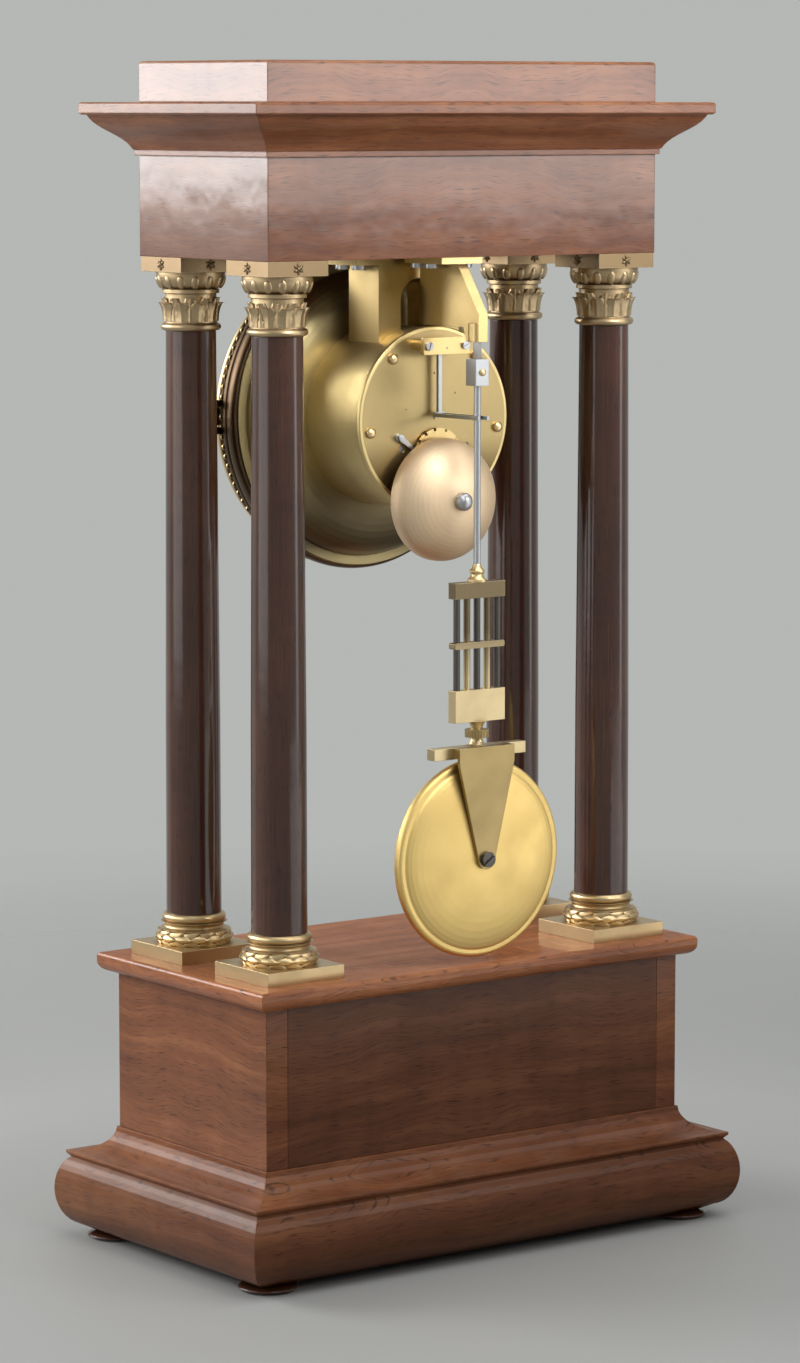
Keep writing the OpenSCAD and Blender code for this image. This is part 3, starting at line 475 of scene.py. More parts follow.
@dataclass(frozen=True)
class WoodFinish:
    """Mahogany under polish."""

    name: str
    dark: Colour
    middle: Colour
    light: Colour
    grain: Grain = Grain.ALONG
    match: float = 1.0
    sheet: float = 0.0
    flame: float = 0.05
    gloss: float = 0.09
    coat: float = 0.85
    wear: float = 0.55
    dust: float = 0.10
    # Heights in metres with a share of painted shade, the piece darker towards the bottom
    painted_shade_stops: Stops = ()
    matt_top: float = 0.0

    def space(self, graph: Graph) -> Socket:
        """Lays out the grain.

        Args:
            graph: the material's tree.

        Returns:
            The vector along and across the grain.
        """
        if self.grain is Grain.ALONG:
            return VENEER_SPACE.place(graph, Match=self.match, Sheet=self.sheet)["Space"]
        x, y, z = graph.split(graph.where())
        return graph.combine(z, graph.plus(x, y), graph.times(graph.minus(x, y), 40.0))

    def material(self) -> bpy.types.Material:
        """Builds the material.

        Returns:
            The material.
        """
        material, graph, shader = new_material(self.name)
        figure = FIGURE.place(graph, Space=self.space(graph), Flame=self.flame)
        rubbed = WEAR.place(graph, Radius=0.0011, Amount=self.wear)["Mask"]
        lying = DUST.place(graph, Amount=self.dust)
        dusty = lying["Mask"]
        colour = graph.ramp(figure["Tone"], [(0.0, self.dark), (0.48, self.middle), (1.0, self.light)])
        colour = graph.mix(graph.times(figure["Pores"], 0.7), colour, toned(self.dark, 0.35))
        colour = graph.mix(graph.times(rubbed, 0.55), colour, toned(self.light, 1.25, 0.02))
        colour = graph.mix(dusty, colour, DUST_ON_WOOD)
        # Painted shade: the colour darkens towards the bottom by height
        if self.painted_shade_stops:
            colour = graph.mix(graph.stops(2, self.painted_shade_stops), colour, PAINTED_SHADE_BROWN)
        rough = graph.span(graph.noise(graph.where(), 34.0, 4.0, 0.6), 0.3, 0.75, (0.30, 0.42))
        rough = graph.plus(rough, graph.times(dusty, 0.4))
        coat = graph.span(rubbed, 0.0, 1.0, (self.coat, 0.35 * self.coat))
        coat = graph.minus(coat, graph.times(dusty, 0.6), clamp=True)
        if self.matt_top:
            dull = graph.times(lying["Level"], self.matt_top)
            rough = graph.plus(rough, graph.times(dull, 0.5))
            coat = graph.times(coat, graph.minus(1.0, dull))
        soft = graph.rounded(0.0007)
        ripple = graph.noise(graph.where(), 55.0, 2.0)
        graph.fill(shader, {
            "Base Color": colour, "Roughness": rough, "Coat Weight": coat,
            "Coat Roughness": self.gloss, "Coat IOR": 1.52, "Specular IOR Level": 0.1,
            "Coat Normal": graph.bump(ripple, 0.00035, 0.35, soft),
            "Normal": graph.bump(figure["Height"], 0.00005, 0.5, soft),
        })
        return material


@dataclass(frozen=True)
class MetalFinish:
    """Brass, gilding, bronze or steel with its tool marks and tarnish, and where given a darkening painted by
    place, mostly painted shade.
    """

    name: str
    colour: Colour
    tarnish_and_shade_colour: Colour
    roughness: float
    marks: Marks = Marks.CAST
    tarnish: float = 0.6
    reach: float = 0.003
    wear: float = 0.5
    axis: Spot = (0.0, 0.0)
    bump: float = 0.4
    # Places along one axis with a share of painted darkening towards the tarnish colour; on most finishes it
    # is painted shade
    painted_dark: Stops = ()
    painted_dark_axis: int = 2

    def height(self, graph: Graph) -> Socket:
        """Draws the tool marks.

        Args:
            graph: the material's tree.

        Returns:
            The height socket.
        """
        if self.marks is Marks.TURNED:
            return TURNING.place(graph, X=self.axis[0], Z=self.axis[1])["Height"]
        if self.marks is Marks.BRUSHED:
            return graph.streaks(graph.where(), (2400.0, 900.0, 120.0), 2.0, 0.6)
        return graph.noise(graph.where(), 900.0, 3.0, 0.6)

    def material(self) -> bpy.types.Material:
        """Builds the material.

        Returns:
            The material.
        """
        material, graph, shader = new_material(self.name)
        aged = TARNISH.place(graph, Reach=self.reach, Amount=self.tarnish)
        rubbed = WEAR.place(graph, Radius=0.0006, Amount=self.wear)["Mask"]
        dusty = DUST.place(graph, Amount=0.12)["Mask"]
        tarnish_and_shade_mask = aged["Mask"]
        # The painted darkening by place joins the tarnish mask; on most finishes it is painted shade
        if self.painted_dark:
            tarnish_and_shade_mask = graph.math("MAXIMUM", tarnish_and_shade_mask, graph.stops(self.painted_dark_axis, self.painted_dark))
        colour = graph.mix(tarnish_and_shade_mask, self.colour, self.tarnish_and_shade_colour)
        colour = graph.mix(rubbed, colour, toned(self.colour, 1.12, 0.02))
        rough = graph.span(aged["Drift"], 0.3, 0.75, (0.9 * self.roughness, 1.25 * self.roughness))
        rough = graph.plus(rough, graph.times(aged["Mask"], 0.14))
        rough = graph.minus(rough, graph.times(rubbed, 0.5 * self.roughness))
        graph.fill(shader, {
            "Base Color": graph.mix(dusty, colour, DUST_ON_METAL),
            "Roughness": graph.plus(rough, graph.times(dusty, 0.3)),
            "Metallic": graph.span(dusty, 0.0, 0.2, (1.0, 0.55)),
            "Normal": graph.bump(self.height(graph), 0.00004, self.bump, graph.rounded(0.00035)),
        })
        return material


@dataclass(frozen=True)
class EnamelFinish:
    """Fired enamel with a soft warm drift and hair cracks."""

    name: str
    colour: Colour
    shade: Colour
    roughness: float = 0.16
    cracks: float = 0.35

    def material(self) -> bpy.types.Material:
        """Builds the material.

        Returns:
            The material.
        """
        material, graph, shader = new_material(self.name)
        place = graph.where()
        drift = graph.span(graph.noise(place, 26.0), 0.35, 0.75)
        colour = graph.mix(graph.times(drift, 0.6), self.colour, self.shade)
        waves = graph.make("TexNoise", {"Vector": place, "Scale": 60.0}, "Color")
        shift = graph.stretch(waves, (0.02, 0.02, 0.02))
        bent = graph.make("VectorMath", {0: place, 1: shift}, operation="ADD")
        cells = graph.make("TexVoronoi", {"Vector": bent, "Scale": 38.0}, "Distance",
                           feature="DISTANCE_TO_EDGE")
        some = graph.span(graph.noise(place, 14.0, 1.0), 0.52, 0.66)
        line = graph.times(graph.times(graph.span(cells, 0.012, 0.0), some), self.cracks)
        graph.fill(shader, {
            "Base Color": graph.mix(line, colour, toned(self.shade, 0.35)),
            "Roughness": graph.span(drift, 0.0, 1.0, (self.roughness, 1.5 * self.roughness)),
            "Coat Weight": 0.5, "Coat Roughness": 0.06,
            "Normal": graph.bump(drift, 0.0002, 0.3),
        })
        return material


@dataclass(frozen=True)
class GlassFinish:
    """Clear old glass with a faint wave."""

    name: str
    tint: Colour

    def material(self) -> bpy.types.Material:
        """Builds the material.

        Returns:
            The material.
        """
        material, graph, shader = new_material(self.name)
        place = graph.where()
        graph.fill(shader, {
            "Base Color": (*self.tint, 1.0), "Transmission Weight": 1.0, "IOR": 1.5,
            "Roughness": graph.span(graph.noise(place, 40.0, 4.0, 0.6), 0.45, 0.85, (0.01, 0.06)),
            "Normal": graph.bump(graph.noise(place, 22.0, 1.0, 0.4), 0.0002, 0.15),
        })
        return material


def painted_shade_backed(name: str, gilt_y: float, shade_y: float) -> MetalFinish:
    """Describes gilding that stops at the side of a turned piece, its back painted nearly black as painted
    shade.

    Args:
        name: the material's name.
        gilt_y: where the gilding is whole.
        shade_y: where the painted shade on the back is full.

    Returns:
        The finish.
    """
    return MetalFinish(name, PALE_GOLD, PAINTED_SHADE_BACK, 0.31, tarnish=0.3, painted_dark=((gilt_y, 0.0), (shade_y, 0.96)),
                       painted_dark_axis=1)


ON_DIAL_AXIS = (0.0, DIAL_Z)
FINISHES = {
    "panel": WoodFinish("mahogany_flame_veneer", **PANEL_TONES, flame=0.018, gloss=0.12, coat=0.3),
    # Painted shade: the back board takes a darker copy of the panel's tones, for the shade on the back face
    "back_board": WoodFinish("mahogany_back_board", **painted_light_tones(PANEL_TONES, 0.64), flame=0.018, gloss=0.14,
                             coat=0.25),
    "frieze": WoodFinish("mahogany_frieze_veneer", **PANEL_TONES, sheet=3.0, flame=0.022, gloss=0.11,
                         matt_top=1.0),
    # Painted shade: the moulding darkens towards the floor, most on its lower torus
    "moulding": WoodFinish("mahogany_moulding", **PANEL_TONES, match=0.0, sheet=6.0, flame=0.02, gloss=0.22,
                           coat=0.15, wear=0.8,
                           painted_shade_stops=((0.003, 0.55), (0.016, 0.42), (0.0355, 0.24), (0.0385, 0.0))),
    # Painted light: the cornice takes a lighter copy of the panel's tones, for the light on the top of the
    # clock
    "crown": WoodFinish("mahogany_crown_moulding", **painted_light_tones(PANEL_TONES, 1.12), match=0.0, sheet=12.0,
                        flame=0.02, coat=0.5, matt_top=1.0),
    # Painted light: the slab takes a much lighter copy of the panel's tones for the light on its top, and its
    # strong wear lightens the rubbed edges, partly real wear and partly a painted highlight
    "slab": WoodFinish("mahogany_slab", **painted_light_tones(PANEL_TONES, 1.6), match=0.0, sheet=15.0, flame=0.02,
                       coat=0.5, wear=0.9, dust=0.06, matt_top=0.5),
    "board": WoodFinish("mahogany_inner_board", **PANEL_TONES, match=0.0, sheet=9.0, flame=0.03, gloss=0.2,
                        coat=0.5),
    "column": WoodFinish("dark_mahogany_turned", **COLUMN_TONES, grain=Grain.TURNED, flame=0.02, gloss=0.11,
                         dust=0.0),
    "gilt_base": MetalFinish("gilt_base_mounts", (0.58, 0.43, 0.235), (0.22, 0.14, 0.065), 0.31, bump=0.6),
    # Painted shade: the capitals take a darker gilt than the other mounts and darken further at the abacus,
    # under the frieze
    "gilt_capital": MetalFinish("gilt_capitals", (0.47, 0.35, 0.205), (0.16, 0.105, 0.055), 0.34, tarnish=0.7,
                                bump=0.6, painted_dark=((0.4285, 0.0), (0.4300, 0.8))),
    "gilt_matt": MetalFinish("gilt_matt", PALE_GOLD, (0.30, 0.19, 0.085), 0.38, tarnish=0.7, reach=0.004,
                             wear=0.8, bump=0.7),
    "gilt_bright": MetalFinish("gilt_bright", PALE_GOLD, (0.40, 0.26, 0.11), 0.31, tarnish=0.5),
    # Painted shade: the bezel's ring, beads and door are painted nearly black behind their gilt front
    "gilt_ring": painted_shade_backed("gilt_ring_bare_back", -0.0418, -0.0403),
    "gilt_beads": painted_shade_backed("gilt_beads_bare_back", -0.0404, -0.0397),
    "gilt_door": painted_shade_backed("gilt_door_bare_back", -0.0470, -0.0454),
    "bob": MetalFinish("gilt_bob", GOLD, (0.50, 0.32, 0.11), 0.40, Marks.TURNED, tarnish=0.25,
                       axis=(0.0, BOB_Z), bump=0.5),
    # The gridiron darkens towards its top bar
    "gridiron": MetalFinish("brass_gridiron", (0.68, 0.54, 0.31), (0.07, 0.048, 0.03), 0.34, Marks.BRUSHED,
                            painted_dark=((0.252, 0.0), (0.275, 0.8))),
    "brass": MetalFinish("brass_lacquered", (0.74, 0.55, 0.25), (0.26, 0.165, 0.06), 0.31, Marks.BRUSHED),
    "brass_turned": MetalFinish("brass_turned", (0.70, 0.55, 0.26), (0.28, 0.19, 0.07), 0.38, Marks.TURNED,
                                axis=ON_DIAL_AXIS),
    "brass_aged": MetalFinish("brass_aged", (0.42, 0.31, 0.14), (0.16, 0.105, 0.042), 0.34, Marks.BRUSHED,
                              bump=0.15),
    # Painted shadow: the back plate darkens towards its lower part, for the bell's shadow
    "brass_plate": MetalFinish("brass_plate", (0.44, 0.33, 0.155), (0.085, 0.055, 0.02), 0.33, Marks.TURNED,
                               tarnish=0.4, axis=ON_DIAL_AXIS, bump=0.12,
                               painted_dark=((0.340, 0.85), (0.357, 0.0))),
    "bell": MetalFinish("bell_metal", (0.78, 0.60, 0.405), (0.46, 0.33, 0.19), 0.53, Marks.TURNED,
                        tarnish=0.35, axis=(0.0, BELL_Z)),
    # Painted shade: the dial cup darkens towards its lower part
    "bronze": MetalFinish("bronze_olive", (0.42, 0.34, 0.175), (0.075, 0.056, 0.034), 0.40, Marks.TURNED,
                          axis=ON_DIAL_AXIS,
                          painted_dark=((0.300, 0.1), (0.307, 0.85), (0.318, 0.85), (0.352, 0.0))),
    "steel": MetalFinish("steel_polished", (0.50, 0.51, 0.53), (0.17, 0.15, 0.135), 0.31, Marks.BRUSHED),
    "steel_dark": MetalFinish("steel_darkened", (0.12, 0.11, 0.10), (0.045, 0.038, 0.032), 0.36,
                              Marks.BRUSHED),
    "blued": MetalFinish("steel_blued", (0.030, 0.050, 0.155), (0.02, 0.02, 0.04), 0.20, Marks.BRUSHED,
                         tarnish=0.3, wear=0.3),
    "enamel": EnamelFinish("enamel_white", (0.82, 0.80, 0.735), (0.74, 0.71, 0.63)),
    "print": EnamelFinish("enamel_black", (0.012, 0.012, 0.014), (0.02, 0.02, 0.022), 0.25, 0.0),
    "glass": GlassFinish("glass_clear", (0.97, 0.985, 0.985)),
}
MATERIALS = {key: finish.material() for key, finish in FINISHES.items()}


def show(name: str, data: bpy.types.ID) -> bpy.types.Object:
    """Adds an object to the scene.

    Args:
        name: the object's name.
        data: its mesh, lamp or camera.

    Returns:
        The object.
    """
    made = bpy.data.objects.new(name, data)
    bpy.context.scene.collection.objects.link(made)
    return made


def aim(made: bpy.types.Object, place: Point, direction: Vector) -> None:
    """Sets a lamp or camera in its place, looking in a direction.

    Args:
        made: the object.
        place: where it stands.
        direction: where it looks.
    """
    made.location = place
    made.rotation_mode = "QUATERNION"
    made.rotation_quaternion = direction.to_track_quat("-Z", "Y")


def around(radius: float, angle: float, height: float) -> Vector:
    """Gives a point from a radius and an angle round the Z axis and a height."""
    return Vector((radius * math.cos(angle), radius * math.sin(angle), height))


def on_face(radius: float, angle: float, y: float) -> Vector:
    """Gives a point from a radius and an angle round the dial's axis and its place along Y."""
    return Vector((radius * math.cos(angle), y, DIAL_Z + radius * math.sin(angle)))


def along_y(place: Point, back: bool = True) -> Matrix:
    """Gives the frame of a turned piece at a place, its axis to the back of the clock or to the front."""
    return Matrix.Translation(place) @ Matrix.Rotation(math.radians(-90 if back else 90), 4, "X")


class Sculpt:
    """Collects the vertices and faces of one piece, in metres in the row frame."""

    def __init__(self) -> None:
        """Starts with nothing."""
        self.points: list[Vector] = []
        self.faces: list[tuple[int, ...]] = []

    def leaf(self, high: int, wide: int, point: LeafPoint) -> None:
        """Adds a closed sheet with a front, a back and a rim.

        Args:
            high: number of rows.
            wide: number of points in a row.
            point: gives the point at a place along from 0 to 1 and across from -1 to 1, on the back if true.
        """
        start, behind = len(self.points), len(self.points) + high * wide
        for back in (False, True):
            self.points.extend(point(r / (high - 1), -1.0 + 2.0 * c / (wide - 1), back)
                               for r in range(high) for c in range(wide))
        for r in range(high - 1):
            for c in range(wide - 1):
                a, b = r * wide + c, (r + 1) * wide + c
                self.faces.append((start + a, start + a + 1, start + b + 1, start + b))
                self.faces.append((behind + b, behind + b + 1, behind + a + 1, behind + a))
        rim = [*range(wide), *(r * wide + wide - 1 for r in range(1, high)),
               *((high - 1) * wide + c for c in range(wide - 2, -1, -1)),
               *(r * wide for r in range(high - 2, 0, -1))]
        for a, b in zip(rim, rim[1:] + rim[:1]):
            self.faces.append((start + b, start + a, behind + a, behind + b))

    def rings(self, rows: Sequence[Sequence[Vector]], loop: bool = False) -> None:
        """Joins rings of points into a closed body.

        Args:
            rows: rings, equal in length, or a single point where the body comes to a pole.
            loop: join the last ring to the first; otherwise the ends are closed.
        """
        starts = []
        for row in rows:
            starts.append(len(self.points))
            self.points.extend(row)
        count = max(len(row) for row in rows)
        pairs = list(zip(range(len(rows) - 1), range(1, len(rows))))
        for low, high in pairs + ([(len(rows) - 1, 0)] if loop else []):
            for c in range(count):
                d = (c + 1) % count
                a = [starts[low] + c, starts[low] + d] if len(rows[low]) > 1 else [starts[low]]
                b = [starts[high] + d, starts[high] + c] if len(rows[high]) > 1 else [starts[high]]
                self.faces.append(tuple(a + b))
        for index, order in () if loop else ((0, -1), (len(rows) - 1, 1)):
            if len(rows[index]) > 1:
                self.faces.append(tuple(range(starts[index], starts[index] + count))[::order])

    def lathe(self, profile: Sequence[Point], place: Matrix, steps: int = 32, loop: bool = False) -> None:
        """Turns a profile about the local Z axis into a closed body.

        Args:
            profile: points of radius and height; a radius of 0 makes a pole.
            place: matrix from the local frame to the row frame.
            steps: number of sides.
            loop: the profile is a closed outline, as of a ring.
        """
        turns = [FULL_TURN * i / steps for i in range(steps)]
        self.rings([[place @ around(r, a, h) for a in (turns if r > 0 else turns[:1])]
                    for r, h in profile], loop)

    def prism(self, outline: Sequence[Point], lift: Callable[[float, float, float], Vector],
              low: float, high: float) -> None:
        """Adds an outline with thickness.

        Args:
            outline: points in the plane, in order.
            lift: takes a plane point and a level to the row frame.
            low: first level.
            high: second level.
        """
        start, count = len(self.points), len(outline)
        for level in (low, high):
            self.points.extend(lift(a, b, level) for a, b in outline)
        self.faces.append(tuple(start + count + i for i in range(count)))
        self.faces.append(tuple(start + count - 1 - i for i in range(count)))
        for i in range(count):
            j = (i + 1) % count
            self.faces.append((start + i, start + j, start + count + j, start + count + i))

    def nut(self, radius: float, height: float, place: Matrix, steps: int) -> None:
        """Adds a domed nut on its seat.

        Args:
            radius: radius of the seat.
            height: height of the dome.
            place: matrix from the seat's frame to the row frame.
            steps: number of sides.
        """
        dome = [(radius * math.cos(a), height * (0.35 + 0.65 * math.sin(a)))
                for a in (math.radians(10 + 80 * i / 6) for i in range(6))]
        self.lathe([(radius, 0.0), (radius, 0.28 * height), *dome, (0.0, height)], place, steps)

    def screw(self, radius: float, height: float, turn: float, place: Matrix) -> None:
        """Adds a cheese head with a cut slot.

        Args:
            radius: radius of the head.
            height: height of the head.
            turn: angle of the slot, in degrees.
            place: matrix from the seat's frame to the row frame.
        """
        half, floor, steps = 0.16 * radius, 0.5 * height, 14
        edge = math.asin(half / radius)
        turned = place @ Matrix.Rotation(math.radians(turn), 4, "Z")
        for side in (0.0, math.pi):
            arc = [side + edge + (math.pi - 2 * edge) * i / steps for i in range(steps + 1)]
            self.prism([(radius * math.cos(a), radius * math.sin(a)) for a in arc],
                       lambda a, b, level: turned @ Vector((a, b, level)), floor, height)
        self.lathe([(radius, 0.0), (radius, floor)], turned, 40)

    def add(self, other: "Sculpt", place: Matrix) -> None:
        """Adds a copy of another sculpt.

        Args:
            other: the sculpt that is copied.
            place: the matrix that moves the copy.
        """
        start = len(self.points)
        self.points.extend(place @ p for p in other.points)
        self.faces.extend(tuple(start + i for i in face) for face in other.faces)

    def mesh(self, name: str, material: bpy.types.Material) -> bpy.types.Mesh:
        """Makes the mesh.

        Args:
            name: the mesh's name.
            material: its material.

        Returns:
            The mesh.
        """
        mesh = bpy.data.meshes.new(name)
        mesh.from_pydata([tuple(p) for p in self.points], [], self.faces)
        mesh.materials.append(material)
        return mesh

    def piece(self, name: str, body: str, finish: str, slot: str, crease: float = 40.0) -> None:
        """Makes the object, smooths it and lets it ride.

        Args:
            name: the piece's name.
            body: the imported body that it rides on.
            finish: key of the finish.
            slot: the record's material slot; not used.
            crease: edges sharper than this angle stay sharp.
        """
        mesh = self.mesh(name, MATERIALS[finish])
        mesh.validate()
        shape = bmesh.new()
        shape.from_mesh(mesh)
        bmesh.ops.recalc_face_normals(shape, faces=shape.faces)
        shape.to_mesh(mesh)
        shape.free()
        mesh.polygons.foreach_set("use_smooth", [True] * len(mesh.polygons))
        mesh.set_sharp_from_angle(angle=math.radians(crease))
        made = show(name, mesh)
        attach(made, body)
        LOG.info("built %s with %d faces", name, len(self.faces))


class Assembly:
    """A sub-assembly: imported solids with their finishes, and the small work added to them."""

    finishes: ClassVar[Dressing] = {}

    def dress(self) -> None:
        """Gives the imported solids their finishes."""
        for finish, nodes in self.finishes.items():
            for name in nodes:
                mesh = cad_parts[name].data
                mesh.materials.clear()
                mesh.materials.append(MATERIALS[finish])
                LOG.info("dressed %s in %s", name, finish)

    def build(self) -> None:
        """Adds nothing, where the solids show all there is."""


class Case(Assembly):
    """Base, columns, frieze, cornice and attic."""

    finishes: ClassVar[Dressing] = {
        "panel": ("base_carcass",),
        "back_board": ("base_back_board",),
        "frieze": ("frieze_box", "attic"),
        "moulding": ("plinth_moulding",),
        "slab": ("base_top",),
        "crown": ("cornice",),
        "board": ("base_floor", "soffit_board"),
        "column": ("feet", *(f"column_{corner}" for corner in COLUMN_PLACES)),
        "steel": ("soffit_screws",),
    }


@dataclass
class ColumnMounts(Assembly):
    """Gilt bases and capitals with their cast leaves."""

    finishes: ClassVar[Dressing] = {"gilt_base": ("column_bases",), "gilt_capital": ("capitals",)}

    leaf_count: int = 10
    leaf_low: float = 0.4080
    # Shift and half width in shares of the pitch, height of the tip and curl of both rows
    leaf_rows: tuple[Point, ...] = ((0.5, 0.40, 0.4196, 0.0011), (0.0, 0.47, 0.4174, 0.0024))
    leaf_sink: float = 0.0009
    leaf_rise: float = 0.0002
    leaf_rib: float = 0.0009
    leaf_vein: float = 0.00018
    tip_start: float = 0.8
    tip_drop: float = 0.0014
    neck_radius: float = 0.01125
    egg_count: int = 14
    egg_ring: float = 0.0138
    egg_z: float = 0.4251
    egg_half: float = 0.0030
    egg_depth: float = 0.0013
    egg_lean: float = 0.0009
    egg_angle: float = 0.15
    torus_z: float = 0.1375
    torus_ring: float = 0.0134
    torus_radius: float = 0.0033
    laurel_count: int = 14
    laurel_tilts: tuple[float, ...] = (-0.85, 0.0, 0.85)
    laurel_sink: float = 0.0005
    laurel_rise: float = 0.0008
    laurel_rib: float = 0.00016
    laurel_half: float = 0.26
    laurel_width: float = 0.52
    laurel_tip: float = 0.03
    petal_count: int = 6
    petal_root: float = 0.0004
    petal_length: float = 0.0022
    petal_sink: float = 0.0003
    petal_edge: float = 0.0001
    petal_rise: float = 0.00055
    boss: Stops = ((0.0009, -0.0003), (0.0008, 0.0006), (0.0004, 0.0009), (0.0, 0.00095))
    abacus_half: float = 0.0155
    abacus_z: float = 0.43275

    def leaf(self, centre: float, width: float, high: float, curl: float, s: float, t: float,
             back: bool) -> Vector:
        """Gives a point of an upright leaf on the neck of a capital.

        Args:
            centre: angle of the leaf round the column.
            width: half width of the leaf, as an angle.
            high: height of its tip.
            curl: how far the tip leans out.
            s: place from foot to tip.
            t: place across.
            back: on the back.

        Returns:
            The point.
        """
        lobes = 1.0 + 0.13 * math.cos(s * 6 * math.pi)
        half = width * (0.45 + 0.55 * math.sin(math.pi * (0.2 + 0.62 * s))) * lobes
        tip = max(0.0, s - self.tip_start) / (1.0 - self.tip_start)
        half *= max(0.10, math.sqrt(max(0.0, 1.0 - tip ** 2)))
        height = self.leaf_low + (high - self.leaf_low) * s - self.tip_drop * tip ** 2
        rib = self.leaf_rib * (1.0 - abs(t)) ** 0.7 + self.leaf_vein * math.cos(3 * math.pi * t)
        rise = -self.leaf_sink if back else self.leaf_rise + rib * (0.6 + 0.4 * s)
        return around(self.neck_radius + rise + curl * s ** 3, centre + t * half, height)

    def egg(self, made: Sculpt, centre: float) -> None:
        """Adds one egg of the border under the abacus.

        Args:
            made: the sculpt that takes the egg.
            centre: angle of the egg round the column.
        """
        rows, bands, sides = [], 8, 12
        for i in range(bands + 1):
            u = math.pi * i / bands
            turns = [FULL_TURN * j / sides for j in range(sides if 0 < i < bands else 1)]
            lean = self.egg_ring + self.egg_lean * math.cos(u)
            rows.append([around(lean + self.egg_depth * math.sin(u) * math.cos(v),
                                centre + self.egg_angle * math.sin(u) * math.sin(v),
                                self.egg_z + self.egg_half * math.cos(u)) for v in turns])
        made.rings(rows)

    def capital(self) -> Sculpt:
        """Builds the leaves and eggs of one capital.

        Returns:
            The sculpt, round the Z axis.
        """
        made = Sculpt()
        step = FULL_TURN / self.leaf_count
        for shift, width, high, curl in self.leaf_rows:
            for i in range(self.leaf_count):
                made.leaf(13, 9, partial(self.leaf, (i + shift) * step, width * step, high, curl))
        for i in range(self.egg_count):
            self.egg(made, FULL_TURN * (i + 0.5) / self.egg_count)
        return made

    def laurel(self, centre: float, tilt: float, s: float, t: float, back: bool) -> Vector:
        """Gives a point of a laurel leaf on the torus of a base.

        Args:
            centre: angle of the leaf's middle round the column.
            tilt: angle of the leaf's middle round the torus.
            s: place from stalk to tip.
            t: place across.
            back: on the back.

        Returns:
            The point.
        """
        along = 2.0 * s - 1.0
        half = self.laurel_tip
        if abs(along) < 1:
            half = self.laurel_width * math.cos(0.5 * math.pi * along) ** 0.7
        lift = self.laurel_rise * (1 - t * t) * (0.6 + 0.4 * along) + self.laurel_rib * (1 - abs(t)) ** 4
        ring = self.torus_radius + (-self.laurel_sink if back else lift)
        turn = tilt + t * half
        return around(self.torus_ring + ring * math.cos(turn), centre + self.laurel_half * along,
                      self.torus_z + ring * math.sin(turn))

    def base(self) -> Sculpt:
        """Builds the laurel of one base.

        Returns:
            The sculpt, round the Z axis.
        """
        made = Sculpt()
        step = FULL_TURN / self.laurel_count
        for i in range(self.laurel_count):
            for row, tilt in enumerate(self.laurel_tilts):
                made.leaf(9, 7, partial(self.laurel, (i + 0.5 * (row % 2)) * step, tilt))
        return made

    def petal(self, centre: float, s: float, t: float, back: bool) -> Vector:
        """Gives a point of a petal of a rosette.

        Args:
            centre: angle of the petal.
            s: place from root to tip.
            t: place across.
            back: on the back.

        Returns:
            The point.
        """
        half = 0.5 * math.sin(math.pi * min(1.0, 0.25 + 0.7 * s))
        dome = (1 - t * t) * math.sin(math.pi * (0.15 + 0.8 * s))
        lift = self.petal_edge + self.petal_rise * dome
        return around(self.petal_root + self.petal_length * s, centre + t * half,
                      -self.petal_sink if back else lift)

    def rosette(self) -> Sculpt:
        """Builds a small rosette.

        Returns:
            The sculpt in its local plane, with Z out of the abacus.
        """
        made = Sculpt()
        for k in range(self.petal_count):
            made.leaf(7, 5, partial(self.petal, FULL_TURN * k / self.petal_count))
        made.lathe(self.boss, UPRIGHT, 14)
        return made

    def build(self) -> None:
        """Places the cast work on all four columns."""
        capital, base, rosette = self.capital(), self.base(), self.rosette()
        quarter = math.pi / 2
        on_abacus = (Matrix.Translation((self.abacus_half, 0.0, self.abacus_z))
                     @ Matrix.Rotation(quarter, 4, "Y"))
        for corner, (x, y) in COLUMN_PLACES.items():
            stand = Matrix.Translation((x, y, 0.0))
            leaves, wreath = Sculpt(), Sculpt()
            leaves.add(capital, stand)
            for k in range(4):
                leaves.add(rosette, stand @ Matrix.Rotation(quarter * k, 4, "Z") @ on_abacus)
            leaves.piece(f"capital_leaves_{corner}", "case", "gilt_capital", "gilt")
            wreath.add(base, stand)
            wreath.piece(f"base_laurel_{corner}", "case", "gilt_base", "gilt")


